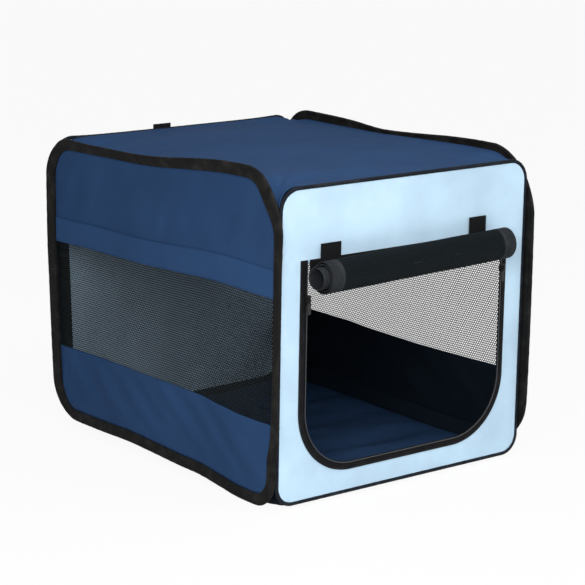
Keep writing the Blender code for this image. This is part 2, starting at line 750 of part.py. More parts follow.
def zip_slider(prefix, hand, body):
    """A slider over the coil, with a bail on its face."""
    place = hand * COIL_PLACE
    half = SLIDER_WIDTH / 2
    slider = add_piece(
        f"{prefix}_zip_slider",
        block(
            f"{prefix}_zip_slider",
            (place - half, -SLIDER_FACE, SLIDER_REST - SLIDER_LENGTH / 2),
            (place + half, -SLIDER_BACK, SLIDER_REST + SLIDER_LENGTH / 2),
        ),
        "black enamel",
        body,
    )
    groove = COIL_RADIUS + SLIDER_CLEARANCE
    cutter = block(
        f"{prefix}_slider_groove",
        (place - groove, -COIL_LAYER - groove, SLIDER_REST - SLIDER_LENGTH),
        (place + groove, 0, SLIDER_REST + SLIDER_LENGTH),
    )
    cut = slider.modifiers.new("groove for the coil", "BOOLEAN")
    cut.operation = "DIFFERENCE"
    cut.object = add_cutter(f"{prefix}_slider_groove", cutter)

    top = SLIDER_REST + BAIL_LENGTH / 2
    low = SLIDER_REST - BAIL_LENGTH / 2
    outer_face = -SLIDER_FACE - BAIL_HOLE - BAIL_WALL
    root = BAIL_ROOT - SLIDER_FACE
    outline = [(outer_face, low), (root, low), (root, top), (outer_face, top)]
    hole = [
        (-SLIDER_FACE - BAIL_HOLE, low + BAIL_WALL),
        (-SLIDER_FACE, low + BAIL_WALL),
        (-SLIDER_FACE, top - BAIL_WALL),
        (-SLIDER_FACE - BAIL_HOLE, top - BAIL_WALL),
    ]
    bail = flat_sheet(f"{prefix}_slider_bail", [outline, hole], BAIL_WIDTH, facing_right(place))
    join = slider.modifiers.new("bail", "BOOLEAN")
    join.operation = "UNION"
    join.object = add_cutter(f"{prefix}_slider_bail", bail)


def zip_pull(prefix, hand, body):
    """The pull that hangs from a slider's bail by the bar above its slot."""
    place = hand * COIL_PLACE
    half = PULL_WIDTH / 2
    top = PULL_HEIGHT + PULL_BAR / 2
    low = top - PULL_LENGTH
    outline = [(place + half, top), (place - half, top)]
    for side, start in ((-1, math.pi), (1, 1.5 * math.pi)):
        for turn in arc(start, start + QUARTER, ARC_STEPS // 2):
            across, up = polar(PULL_CORNER, turn)
            outline.append((place + side * (half - PULL_CORNER) + across, low + PULL_CORNER + up))
    slot_half = half - PULL_ARM
    slot = [
        (place - slot_half, PULL_HEIGHT - PULL_BAR / 2),
        (place + slot_half, PULL_HEIGHT - PULL_BAR / 2),
        (place + slot_half, PULL_HEIGHT - PULL_BAR / 2 - PULL_SLOT),
        (place - slot_half, PULL_HEIGHT - PULL_BAR / 2 - PULL_SLOT),
    ]
    name = f"{prefix}_zip_pull"
    pull = flat_sheet(name, [outline, slot], PULL_THICKNESS, facing_front(-PULL_LAYER))
    add_piece(name, pull, "black enamel", body)


def roll_tab(prefix, place, top, width, body):
    """A webbing tab, sewn on above the opening, with its free end behind the roll."""
    half = width / 2
    low = top - TAB_LENGTH
    outline = [(place + half, top), (place - half, top)]
    for side, start in ((-1, math.pi), (1, 1.5 * math.pi)):
        for turn in arc(start, start + QUARTER, ARC_STEPS):
            across, up = polar(TAB_CORNER, turn)
            outline.append((place + side * (half - TAB_CORNER) + across, low + TAB_CORNER + up))
    name = f"{prefix}_roll_tab"
    tab = flat_sheet(name, [outline], TAB_CLOTH, facing_front(TAB_CLOTH / 2 - TAB_FACE))
    add_piece(name, tab, "black binding", body)


# Roof, floor and mat

def corner_pull(place, high):
    """How far the roof or floor is drawn towards the middle height in a corner between two loops."""
    from_side, from_end = edge_distances(place)
    on_end = WALL_CORNER_HIGH if high else WALL_CORNER_LOW
    on_side = side_corner(place.y, high)
    along_end = from_side / on_end
    along_side = from_end / on_side
    near = math.hypot(along_end, along_side)
    if near >= 1.0:
        return 0.0
    lean = math.atan2(along_side, along_end) / QUARTER
    depth = blend(on_end, on_side, lean)
    return depth * (1.0 - math.sqrt(1.0 - (1.0 - near) ** 2))


def cloth_grid(name):
    """A grid over the crate's plan whose cells get smaller towards the edges."""
    bm = bmesh.new()
    bmesh.ops.create_grid(bm, x_segments=CLOTH_CELLS, y_segments=CLOTH_CELLS, size=1)
    for vert in bm.verts:
        vert.co.x = ROOF_HALF * math.sin(vert.co.x * QUARTER)
        vert.co.y = ROOF_HALF_DEPTH * math.sin(vert.co.y * QUARTER)
    return bm


def edge_distances(place):
    """Distances of a place from the nearest side edge and the nearest end edge."""
    return max(ROOF_HALF - abs(place.x), 0.0), max(ROOF_HALF_DEPTH - abs(place.y), 0.0)


def top_panel(body):
    """The roof cloth, which is stretched over the loops and drawn down into the four corners."""
    bm = cloth_grid("top_panel")
    for vert in bm.verts:
        side_share = (vert.co.x / ROOF_HALF) ** 2
        side_seam = side_height(vert.co.y, SIDE_SEAM_HEIGHT) + CLOTH
        crown = ROOF_CROWN * math.cos(vert.co.x / ROOF_HALF * QUARTER)
        crown *= math.cos(vert.co.y / ROOF_HALF_DEPTH * QUARTER)
        vert.co.z = blend(ROOF_SEAM, side_seam, side_share) + crown - corner_pull(vert.co, True)
    piece = add_piece("top_panel", mesh_from(bm, "top_panel"), "navy cloth", body)
    thicken(piece, CLOTH, -1)


def floor_panel(body):
    """The floor cloth: flat on the ground, turned up at its sides and drawn up into the corners."""
    bm = cloth_grid("floor_panel")
    for vert in bm.verts:
        from_side, from_end = edge_distances(vert.co)
        side_rise = side_height(vert.co.y, 0) * smooth(1.0 - from_side / FLOOR_EDGE)
        end_rise = FLOOR_END_RISE * smooth(1.0 - from_end / FLOOR_EDGE)
        vert.co.z = max(side_rise, end_rise) + corner_pull(vert.co, False)
    piece = add_piece("floor_panel", mesh_from(bm, "floor_panel"), "navy cloth", body)
    thicken(piece, FLOOR_CLOTH, 1)


def floor_mat(body):
    """The padded mat: crowned, drawn in along its sides, with shallow folds across it."""
    half_width = ROOF_HALF - MAT_INSET_SIDE
    half_length = ROOF_HALF_DEPTH - MAT_INSET_END
    bm = bmesh.new()
    bmesh.ops.create_grid(bm, x_segments=MAT_CELLS_ACROSS, y_segments=MAT_CELLS_ALONG, size=1)
    lifted = bmesh.ops.extrude_face_region(bm, geom=bm.faces[:])
    top = {item for item in lifted["geom"] if isinstance(item, bmesh.types.BMVert)}
    for vert in bm.verts:
        across, along = vert.co.x, vert.co.y
        bulge = (1.0 - across * across) * (1.0 - along * along)
        corner = 1.0 - MAT_CORNER_SHARE * (across * along) ** 4
        vert.co.x = corner * across * (half_width - MAT_WAIST * (1.0 - along * along))
        vert.co.y = corner * along * (half_length - MAT_WAIST * (1.0 - across * across))
        vert.co.z = FLOOR_CLOTH + SEAM_GAP
        if vert in top:
            share = (along + 1.0) / 2
            fold = max(smooth(1.0 - abs(share - place) * MAT_CELLS_ALONG) for place in MAT_FOLD_SHARES)
            vert.co.z += MAT_EDGE + MAT_CROWN * math.sqrt(bulge) - MAT_FOLD_DEPTH * fold * math.sqrt(bulge)
    piece = add_piece("floor_mat", mesh_from(bm, "floor_mat"), "navy cloth", body)
    rounding = piece.modifiers.new("soft edges", "SUBSURF")
    rounding.levels = 1
    rounding.render_levels = 1


def build():
    """Build every piece on the body that carries it."""
    cloth = add_body("root", (0, 0, 0))
    mat = add_body("mat", (0, 0, 0), cloth)
    front = add_body("front", (-SIDE_PLANE, -CLOSING_HINGE, 0), cloth)
    left = add_body("left_side", (-SIDE_PLANE, -CLOSING_HINGE, 0), cloth)
    right = add_body("right_side", (SIDE_PLANE, -OPENING_HINGE, 0), front)
    back = add_body("back", (-SIDE_PLANE, OPENING_HINGE, 0), left)
    door = add_body("door", (0, -ROLL_LAYER, ROLL_HEIGHT), front)

    top_panel(cloth)
    floor_panel(cloth)
    floor_mat(mat)
    opening = [door_outline(ZIP_TAPE_OVERLAP, DOOR_TOP - ZIP_TAPE_OVERLAP)]
    end_wall("front", -1, front, opening, "pale blue cloth")
    end_wall("back", 1, back, [], "pale blue cloth")
    rear_tab(back)
    side_wall("left", -1, left)
    side_wall("right", 1, right)
    zip_and_curtain(front)
    rolled_door(door)
    for prefix, hand, tab_place, tab_top, tab_width in (
        ("left", -1, LEFT_TAB_PLACE, LEFT_TAB_TOP, LEFT_TAB_WIDTH),
        ("right", 1, RIGHT_TAB_PLACE, RIGHT_TAB_TOP, RIGHT_TAB_WIDTH),
    ):
        slider = add_body(f"{prefix}_slider", (hand * COIL_PLACE, -COIL_LAYER, SLIDER_REST), front)
        pull = add_body(f"{prefix}_pull", (hand * COIL_PLACE, -PULL_LAYER, PULL_HEIGHT), slider)
        tab = add_body(f"{prefix}_tab", (tab_place, -TAB_FACE, tab_top), front)
        zip_slider(prefix, hand, slider)
        zip_pull(prefix, hand, pull)
        roll_tab(prefix, tab_place, tab_top, tab_width, tab)


clear_scene()
PARTS = new_collection("soft folding dog crate")
CUTTERS = new_collection("cutters")
build()
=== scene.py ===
"""Soft folding dog crate, dressed in cloth, binding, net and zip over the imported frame."""
from bisect import bisect_left
from itertools import accumulate
from math import atan2, ceil, copysign, cos, hypot, pi, radians, sin, sqrt

import bmesh
import bpy
from mathutils import Matrix, Vector, noise


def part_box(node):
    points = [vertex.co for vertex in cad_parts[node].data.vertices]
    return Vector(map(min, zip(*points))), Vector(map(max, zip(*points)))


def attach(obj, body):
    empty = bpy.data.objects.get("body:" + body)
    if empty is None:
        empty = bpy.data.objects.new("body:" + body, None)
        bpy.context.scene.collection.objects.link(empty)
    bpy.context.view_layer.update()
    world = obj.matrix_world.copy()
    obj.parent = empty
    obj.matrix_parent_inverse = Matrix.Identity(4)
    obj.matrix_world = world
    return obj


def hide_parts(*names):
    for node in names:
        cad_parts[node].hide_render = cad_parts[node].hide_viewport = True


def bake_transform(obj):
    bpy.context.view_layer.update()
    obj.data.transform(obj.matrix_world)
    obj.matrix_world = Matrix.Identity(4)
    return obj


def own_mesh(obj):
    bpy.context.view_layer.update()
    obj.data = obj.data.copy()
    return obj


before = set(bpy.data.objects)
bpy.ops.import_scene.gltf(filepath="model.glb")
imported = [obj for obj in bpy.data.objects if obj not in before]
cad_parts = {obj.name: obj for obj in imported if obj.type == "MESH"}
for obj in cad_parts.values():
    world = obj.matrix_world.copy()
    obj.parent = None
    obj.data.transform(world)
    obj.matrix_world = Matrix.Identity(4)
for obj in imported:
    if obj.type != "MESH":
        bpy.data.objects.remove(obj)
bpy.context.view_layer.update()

# Crate
HALF_WIDTH = 0.264
HALF_DEPTH = 0.313
WALL_LOW = 0.0045
WALL_HIGH = 0.5145
CLOTH = 0.0016
SEAM_GAP = 0.0003
SEAM_TAPE_REACH = 0.024
TAPE = 0.0010

# Corner radii at positive low, positive high, negative high and negative low, of the front, back and sides
END_CORNERS = {-1: (0.034, 0.038, 0.038, 0.034), 1: (0.060, 0.038, 0.038, 0.060)}
SIDE_CORNERS = (0.054, 0.054, 0.080, 0.050)

# Sleeves round the wires
SLEEVE_RADIUS = 0.0030
SLEEVE_SKIN = 0.0028
SIDE_PLANE = 0.2645
BINDING_WIDTH = 0.020
FLAP_HALF = 0.0021
BINDING_ASIDE = 0.0034
BINDING_LAP = 0.0055
WIRE_RADIUS = 0.0012
SEAM_HEIGHT = 0.4783
SEAM_LOW = 0.0293

# Heights of the bindings' seams along the sides, from front to back
LEFT_TOP_SEAM = (
    (-0.31, 0.520), (-0.19, 0.520), (-0.113, 0.515), (0.023, 0.503), (0.167, 0.499), (0.31, 0.495),
)
LEFT_LOW_SEAM = (
    (-0.31, 0.0205), (-0.226, 0.0207), (-0.173, 0.0265), (-0.119, 0.0325), (-0.064, 0.0338),
    (0.021, 0.0375), (0.08, 0.0395), (0.17, 0.0380), (0.31, 0.0380),
)
RIGHT_TOP_SEAM = (
    (-0.31, 0.507), (-0.198, 0.508), (-0.124, 0.5055), (-0.06, 0.501), (0.008, 0.4968),
    (0.059, 0.4955), (0.14, 0.501), (0.227, 0.503), (0.31, 0.503),
)
RIGHT_LOW_SEAM = ((-0.31, 0.034), (-0.25, 0.031), (-0.12, 0.029), (0.05, 0.034), (0.31, 0.038))
ROOF_RIGHT_EDGE = (
    (-0.31, 0.5135), (-0.199, 0.5150), (-0.124, 0.5137), (0.008, 0.5090), (0.06, 0.5070), (0.31, 0.5070),
)

# How far forward the back wall stands at each height
BACK_WALL_LEAN = (
    (0.0, 0.024), (0.06, 0.024), (0.10, 0.0225), (0.144, 0.0190),
    (0.25, 0.0125), (0.33, 0.0075), (0.52, 0.0050),
)

# How far the back wall's top hangs down between its corners
BACK_TOP_DROP = 0.0055

# How far back the bindings' front uprights sit at each height
LEFT_FRONT_INSET = (
    (0.02, 0.0), (0.03, 0.005), (0.074, 0.014), (0.116, 0.007), (0.16, 0.004), (0.44, 0.004),
    (0.47, 0.007), (0.491, 0.008), (0.52, 0.002),
)
RIGHT_FRONT_INSET = (
    (0.02, 0.010), (0.05, 0.010), (0.10, 0.003), (0.42, 0.003), (0.45, 0.008), (0.50, 0.009), (0.53, 0.006),
)

# Outward lean of the bindings in degrees, by the phase that rounded_loop gives each station
LEFT_LEAN = (
    (0, 0), (3.5, 0), (4, 20), (4.15, 33), (4.6, 31), (4.85, 12), (5.15, 0), (5.9, 2), (6.1, 8),
    (6.25, 15), (6.5, 17), (6.75, 15), (6.95, 6), (7.2, 0), (8, 0),
)
RIGHT_LEAN = ((0, 0), (1.6, 0), (2, 45), (2.15, 88), (2.5, 88), (2.8, 40), (3.0, 8), (3.2, 0), (8, 0))

# Side windows
WINDOW_LOW = 0.143
WINDOW_HIGH = 0.336
HEM_HIGH = 0.380
HEM_CLOTH = 0.0010
WINDOW_INSET = 0.0024

# Door
DOOR_HALF = 0.221
DOOR_LOW = 0.044
DOOR_TOP = 0.397
DOOR_CORNER = 0.110
ZIP_TAPE_WIDTH = 0.014
ZIP_FACE = 0.3151
COIL_INSET = 0.0125
COIL_LAYER = 0.3165
COIL_RADIUS = 0.0011
COIL_PITCH = 0.0014
CURTAIN_FACE = 0.3150
TAB_FACE = 0.3173
TAB_LENGTH = 0.048
TAB_CLOTH = 0.0020
ROLL_LAYER = 0.3459
ROLL_HEIGHT = 0.380
ROLL_SLOPE = 0.026
ROLL_RADIUS = 0.0271
ROLL_PITCH = 0.0040
ROLL_TURNS = 2.8
ROLL_LEFT = -0.2025
ROLL_RIGHT = 0.188
ROLL_TAPE = 0.024
ROLL_PEEK = 0.012
HEAD_STRIP = 0.022

# Roof, floor and mat
ROOF_HALF = 0.2621
ROOF_HALF_DEPTH = 0.3097
ROOF_SEAM = 0.5130
ROOF_CROWN = 0.003
SAG_REACH = 0.19

# Net
NET_PITCH = 0.0045
NET_STRAND = 0.0018

# Share of a sheet's flat size that is cloth, without its corners, the door or the net's holes
FRONT_SHARE = 0.42

# Weave of the cloth, cells of its grids and the smallest lengths that count
THREAD = 0.00055
SIDE_CELL = 0.0055
END_CELL = 0.0060
SHORTEST_SIDE = 1e-9
WELD = 1e-6

QUARTER = pi / 2
ROUND = 2 * pi
FORWARD = Vector((0, -1, 0))


# Shader maths

class Value:
    """A shader socket that takes part in sums, so that a formula reads as one."""

    def __init__(self, finish, socket):
        self.finish = finish
        self.socket = socket

    def __add__(self, other):
        return self.finish.maths("ADD", self, other)

    def __sub__(self, other):
        return self.finish.maths("SUBTRACT", self, other)

    def __rsub__(self, other):
        return self.finish.maths("SUBTRACT", other, self)

    def __mul__(self, other):
        return self.finish.maths("MULTIPLY", self, other)

    def __abs__(self):
        return self.finish.maths("ABSOLUTE", self)

    def sine(self):
        return self.finish.maths("SINE", self)

    def remainder(self, step):
        return self.finish.maths("FLOORED_MODULO", self, step)

    def ramp(self, low, high):
        """0 at one limit and beyond it, 1 at the other, eased between."""
        limits = {"Value": self, "From Min": low, "From Max": high}
        made = self.finish.node("ShaderNodeMapRange", limits, interpolation_type="SMOOTHSTEP")
        return Value(self.finish, made.outputs["Result"])


def feed(tree, socket, value):
    """Link a socket, or set it."""
    if isinstance(value, Value):
        value = value.socket
    if isinstance(value, bpy.types.NodeSocket):
        tree.links.new(value, socket)
    else:
        socket.default_value = value


def add_node(tree, kind, values=None, **settings):
    """Add a node: its settings first, then the values or links of its sockets."""
    made = tree.nodes.new(kind)
    for name, setting in settings.items():
        setattr(made, name, setting)
    for name, value in (values or {}).items():
        feed(tree, made.inputs[name], value)
    return made


class Finish:
    """A material whose pattern is built from nodes round one Principled shader."""

    def __init__(self, name, colour, roughness, metallic=0.0, specular=0.5):
        self.material = bpy.data.materials.new(name)
        self.material.use_nodes = True
        self.tree = self.material.node_tree
        self.shader = self.tree.nodes["Principled BSDF"]
        self.give("Base Color", (*colour, 1))
        self.give("Roughness", roughness)
        self.give("Metallic", metallic)
        self.give("Specular IOR Level", specular)

    def node(self, kind, values=None, **settings):
        return add_node(self.tree, kind, values, **settings)

    def give(self, name, value):
        """Link or set one of the Principled shader's sockets."""
        feed(self.tree, self.shader.inputs[name], value)

    def maths(self, operation, first, second=None):
        values = {0: first} if second is None else {0: first, 1: second}
        return Value(self, self.node("ShaderNodeMath", values, operation=operation).outputs[0])

    def place(self, layer=None):
        """Where a point lies: on the piece's own cloth map, or in the crate."""
        if layer:
            return self.node("ShaderNodeUVMap", uv_map=layer).outputs["UV"]
        return self.node("ShaderNodeTexCoord").outputs["Object"]

    def split(self, place):
        return [Value(self, socket) for socket in self.node("ShaderNodeSeparateXYZ", {0: place}).outputs]

    def cloudy(self, place, scale, detail=3.0, roughness=0.5):
        """Soft random mottling between about 0.3 and 0.7."""
        values = {"Vector": place, "Scale": scale, "Detail": detail, "Roughness": roughness}
        return Value(self, self.node("ShaderNodeTexNoise", values).outputs["Fac"])

    def stretched(self, place, scale):
        return self.node("ShaderNodeMapping", {"Vector": place, "Scale": scale}).outputs["Vector"]

    def mix(self, share, first, second):
        """A colour between two, by a share."""
        ends = [(*colour, 1) if isinstance(colour, tuple) else colour for colour in (first, second)]
        values = {"Factor": share, 6: ends[0], 7: ends[1]}
        return self.node("ShaderNodeMix", values, data_type="RGBA").outputs[2]

    def colour(self, value):
        self.give("Base Color", value)

    def shades(self, share, colour, low, high):
        """Colour from a darker to a lighter shade of its own."""
        self.colour(self.mix(share, shade(colour, low), shade(colour, high)))

    def rough(self, value):
        self.give("Roughness", value)

    def bumps(self, *layers):
        """Relief, each layer a height from 0 to 1 and its depth in metres."""
        normal = None
        for height, depth in layers:
            values = {"Height": height, "Distance": depth, "Strength": 1.0}
            if normal:
                values["Normal"] = normal
            normal = self.node("ShaderNodeBump", values).outputs["Normal"]
        self.give("Normal", normal)


def grey(level):
    return level, level, level


def shade(colour, factor):
    return tuple(min(channel * factor, 1.0) for channel in colour)


def woven(name, colour, roughness=0.80, crease=0.0012):
    """Plain-weave polyester: threads over and under, faint slubs, soft creases and slight fading."""
    finish = Finish(name, colour, roughness, specular=0.06)
    across, along, _ = finish.split(finish.place("cloth"))
    inside = finish.place()
    weave = (across * (pi / THREAD)).sine() * (along * (pi / THREAD)).sine()
    over = weave * 0.5 + 0.5
    slubs = finish.cloudy(finish.stretched(inside, (60, 60, 900)), 1.0, 2.0)
    fading = finish.cloudy(inside, 9.0, 4.0, 0.55)
    creases = finish.cloudy(inside, 26.0, 5.0, 0.55)
    tone = finish.mix(fading.ramp(0.3, 0.72), shade(colour, 0.90), shade(colour, 1.10))
    tone = finish.mix(over * 0.35 + slubs * 0.2, tone, shade(colour, 0.84))
    finish.colour(tone)
    finish.rough(fading * 0.12 + (roughness - 0.06))
    finish.bumps((creases, crease), (over, 0.00012))
    return finish.material


def ribbed_tape(name, colour, dust_and_rib_highlight, rib, roughness, edge_stitch=None):
    """Woven binding tape: fine cross ribs, puckers, a pale colour that is dusty in random patches and a
    painted highlight on its rib crests, and a row of stitches.
    """
    finish = Finish(name, colour, roughness, specular=0.05)
    along, around, _ = finish.split(finish.place("cloth"))
    inside = finish.place()
    ribs = (along * (ROUND / rib)).sine() * 0.5 + 0.5
    threads = (around * (ROUND / (rib * 1.3))).sine() * 0.5 + 0.5
    puckers = finish.cloudy(inside, 120.0, 3.0, 0.6)
    wear = finish.cloudy(inside, 38.0, 4.0, 0.65).ramp(0.42, 0.75)
    # Painted highlight: the rib crests are lightened towards the pale colour, on top of random dusty
    # patches.
    tone = finish.mix(wear * 0.5 + ribs * 0.25, colour, dust_and_rib_highlight)
    height = ribs * 0.6 + threads * 0.2
    if edge_stitch is not None:
        row = abs(around - edge_stitch).ramp(0.0006, 0.0003)
        gap = along.remainder(0.0032).ramp(0.0004, 0.0008)
        stitch = row * gap
        tone = finish.mix(stitch * 0.7, tone, shade(dust_and_rib_highlight, 1.6))
        height = height + stitch * 1.5
    finish.colour(tone)
    finish.rough(roughness - wear * 0.08)
    finish.bumps((puckers, 0.0007), (height, 0.00016))
    return finish.material


def webbing(name, colour):
    """Coarse webbing in a small herringbone."""
    finish = Finish(name, colour, 0.80, specular=0.06)
    along, across, _ = finish.split(finish.place("cloth"))
    chevron = abs(across.remainder(0.008) - 0.004) + along
    lay = (chevron * (ROUND / 0.0014)).sine() * 0.5 + 0.5
    fuzz = finish.cloudy(finish.place(), 300.0, 3.0)
    finish.shades(lay * 0.5 + fuzz * 0.3, colour, 0.6, 2.0)
    finish.bumps((lay, 0.0003), (fuzz, 0.0002))
    return finish.material


def net_yarn(name, colour):
    """Knitted net yarn: glossy fibre bundles."""
    finish = Finish(name, colour, 0.55, specular=0.05)
    fibres = finish.cloudy(finish.stretched(finish.place(), (900, 900, 2500)), 1.0, 2.0)
    finish.shades(fibres, colour, 0.6, 1.6)
    finish.rough(fibres * 0.25 + 0.36)
    finish.bumps((fibres, 0.00012))
    return finish.material


def zip_coil(name, colour):
    """Nylon zip coil."""
    finish = Finish(name, colour, 0.40, specular=0.5)
    cloud = finish.cloudy(finish.place(), 500.0, 2.0)
    finish.shades(cloud, colour, 0.8, 1.3)
    finish.bumps((cloud, 0.00005))
    return finish.material


def enamel(name, colour):
    """Black enamel on cast metal, worn a little on its rub marks."""
    finish = Finish(name, colour, 0.33, metallic=0.3)
    inside = finish.place()
    pits = finish.cloudy(inside, 700.0, 3.0)
    rubs = finish.cloudy(inside, 130.0, 4.0, 0.7).ramp(0.62, 0.72)
    finish.colour(finish.mix(rubs * 0.4, colour, (0.16, 0.15, 0.14)))
    finish.rough(pits * 0.2 + 0.24)
    finish.bumps((pits, 0.00008))
    return finish.material


def drawn_steel(name, colour):
    """Spring wire with drawing lines and faint oxide."""
    finish = Finish(name, colour, 0.32, metallic=1.0)
    inside = finish.place()
    lines = finish.cloudy(finish.stretched(inside, (150, 150, 4000)), 1.0, 2.0)
    oxide = finish.cloudy(inside, 60.0, 4.0).ramp(0.5, 0.8)
    finish.colour(finish.mix(oxide * 0.5, colour, (0.16, 0.13, 0.11)))
    finish.rough(lines * 0.2 + 0.24)
    finish.bumps((lines, 0.00003))
    return finish.material


PALE_BLUE = (0.56, 0.76, 0.93)
NAVY = (0.027, 0.068, 0.165)
pale_cloth = woven("pale blue polyester", PALE_BLUE, 0.85, crease=0.0006)
navy_cloth = woven("navy polyester", NAVY)
hem_cloth = woven("navy hem band", shade(NAVY, 1.14))
# Near-black lining on the inner faces of the side walls and roof, also used for the floor cloth: painted
# shade that darkens the crate's inside.
painted_shade_lining = woven("near-black painted shade lining", (0.006, 0.011, 0.018), 0.75)
mat_cloth = woven("navy mat cover", (0.022, 0.052, 0.120), crease=0.0030)
# Each tape's second colour is what its dusty patches and the painted highlight on its rib crests are mixed
# towards.
side_tape = ribbed_tape("black side binding", grey(0.007), (0.034, 0.032, 0.030), 0.0022, 0.70, 0.0025)
piping_tape = ribbed_tape(
    "black piping", (0.007, 0.010, 0.015), (0.030, 0.035, 0.044), 0.0009, 0.58, 0.0015
)
seam_tape = ribbed_tape("black seam tape", grey(0.006), grey(0.014), 0.0012, 0.70)
zip_tape = ribbed_tape("black zip tape", (0.006, 0.006, 0.007), (0.022, 0.022, 0.024), 0.0008, 0.62, 0.0118)
roll_tape = ribbed_tape(
    "grey door edge tape", (0.016, 0.018, 0.021), (0.040, 0.044, 0.048), 0.0012, 0.72, 0.0215
)
tab_webbing = webbing("black webbing", (0.009, 0.009, 0.010))
black_net = net_yarn("black net", (0.008, 0.012, 0.014))
coil_nylon = zip_coil("black zip coil", (0.035, 0.038, 0.042))
slider_enamel = enamel("black enamel", (0.012, 0.012, 0.013))
wire_steel = drawn_steel("spring steel", (0.42, 0.42, 0.43))


# Shapes

def smooth(share):
    share = min(max(share, 0.0), 1.0)
    return share * share * (3.0 - 2.0 * share)


def blend(low, high, share):
    return low + (high - low) * share


def polar(radius, angle):
    return radius * cos(angle), radius * sin(angle)


def ring(radius, count):
    """Evenly spaced points round a circle."""
    return [polar(radius, ROUND * step / count) for step in range(count)]


def arc(radius, half_angle):
    """Points from one half angle round the outside to the other: the round back of a sleeve."""
    return [polar(radius, blend(half_angle, -half_angle, step / 12)) for step in range(13)]


def curve_at(table, place):
    """The value at a place on a smooth curve through a table of places and values."""
    last = len(table) - 1
    step = next((index for index in range(last) if place <= table[index + 1][0]), last - 1)
    (start, low), (end, high) = table[step], table[step + 1]
    before, after = table[max(step - 1, 0)], table[min(step + 2, last)]
    share = min(max((place - start) / (end - start), 0.0), 1.0)
    rise_in = (high - before[1]) / (end - before[0]) * (end - start)
    rise_out = (after[1] - low) / (after[0] - start) * (end - start)
    return (
        blend(low, high, smooth(share))
        + rise_in * share * (1.0 - share) ** 2
        - rise_out * share * share * (1.0 - share)
    )


def stand_in_place(place):
    """Lean a point forward, as the back wall's left side does, and hang the wall's top down a little."""
    share = smooth((place.y - 0.12) / 0.19)
    from_right = min(max((HALF_WIDTH - place.x) / (2 * HALF_WIDTH), 0.0), 1.0)
    drop = BACK_TOP_DROP * max(1.0 - (place.x / HALF_WIDTH) ** 6, 0.0) * smooth((place.z - 0.42) / 0.08)
    place.y -= curve_at(BACK_WALL_LEAN, place.z) * share * from_right
    place.z -= drop * share


def soft_noise(*place):
    """Smooth noise from about -1 to 1."""
    return noise.noise(Vector(place))


def in_scene(name, data):
    """A new object in the scene."""
    made = bpy.data.objects.new(name, data)
    bpy.context.scene.collection.objects.link(made)
    return made


def mesh_of(name, bm):
    mesh = bpy.data.meshes.new(name)
    bm.to_mesh(mesh)
    bm.free()
    return mesh


def finish_piece(name, bm, material, body, node, wall=0.0, wall_side=0.0, angle=40, lining=None):
    """Make an object of a bmesh, ride it on its body and let it stand for its frame node."""
    for vert in bm.verts:
        stand_in_place(vert.co)
    mesh = mesh_of(name, bm)
    mesh.materials.append(material)
    mesh.shade_smooth()
    if angle:
        mesh.set_sharp_from_angle(angle=radians(angle))
    piece = in_scene(name, mesh)
    if wall:
        solidify = piece.modifiers.new("cloth", "SOLIDIFY")
        solidify.thickness = wall
        solidify.offset = wall_side
        if lining:
            mesh.materials.append(lining)
            solidify.material_offset = 1
    if body:
        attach(piece, body)
    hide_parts(node)
    return piece


def map_cloth(bm, spot=lambda place: place.xy):
    """Record where each point lies on the flat cloth, in metres."""
    layer = bm.loops.layers.uv.new("cloth")
    for face in bm.faces:
        for loop in face.loops:
            loop[layer].uv = spot(loop.vert.co)


def reshaped(bm, reshape):
    """Move every point of a bmesh to where a function puts it."""
    for vert in bm.verts:
        vert.co = reshape(vert.co)


def face_towards(bm, way):
    """Turn the faces so that their normals point a given way."""
    bm.normal_update()
    bm.faces.ensure_lookup_table()
    if bm.faces[0].normal.dot(way) < 0:
        bmesh.ops.reverse_faces(bm, faces=bm.faces)


def grid(columns, rows, size):
    """A flat square grid of cells, with its side twice the size."""
    bm = bmesh.new()
    bmesh.ops.create_grid(bm, x_segments=columns, y_segments=rows, size=size)
    return bm


def flat_cloth(low, high, cell):
    """A flat grid between two corners with about square cells."""
    width, height = high[0] - low[0], high[1] - low[1]
    bm = grid(round(width / cell), round(height / cell), 0.5)
    reshaped(bm, lambda place: (low[0] + (place.x + 0.5) * width, low[1] + (place.y + 0.5) * height, 0))
    return bm


def sides_of(outline):
    """Start, end and outward normal of each side of an outline that runs anticlockwise."""
    for start, end in zip(outline, outline[1:] + outline[:1]):
        outward = Vector((end[1] - start[1], start[0] - end[0], 0))
        if outward.length > SHORTEST_SIDE:
            yield Vector((*start, 0)), Vector((*end, 0)), outward


def all_of(bm):
    return bm.verts[:] + bm.edges[:] + bm.faces[:]


def points_of(geom):
    return [item for item in geom if isinstance(item, bmesh.types.BMVert)]


def trim(bm, outline):
    """Cut a flat cloth to a convex outline."""
    for start, _, outward in sides_of(outline):
        bmesh.ops.bisect_plane(
            bm, geom=all_of(bm), dist=WELD, plane_co=start, plane_no=outward, clear_outer=True
        )


def lies_near(face, start, end, reach):
    """Whether a face's middle is within reach of the box round a side."""
    middle = face.calc_center_median()
    return all(min(a, b) - reach < c < max(a, b) + reach for a, b, c in zip(start.xy, end.xy, middle.xy))


def cut_hole(bm, outline, cell):
    """Cut a convex hole out of a flat cloth, with cuts no longer than its sides need."""
    sides = list(sides_of(outline))
    for start, end, outward in sides:
        near = [face for face in bm.faces if lies_near(face, start, end, 1.6 * cell)]
        edges = {edge for face in near for edge in face.edges}
        verts = {vert for face in near for vert in face.verts}
        geom = [*verts, *edges, *near]
        bmesh.ops.bisect_plane(bm, geom=geom, dist=WELD, plane_co=start, plane_no=outward)
    inside = [
        face for face in bm.faces
        if all((face.calc_center_median() - start).dot(outward) < 0 for start, _, outward in sides)
    ]
    bmesh.ops.delete(bm, geom=inside, context="FACES")


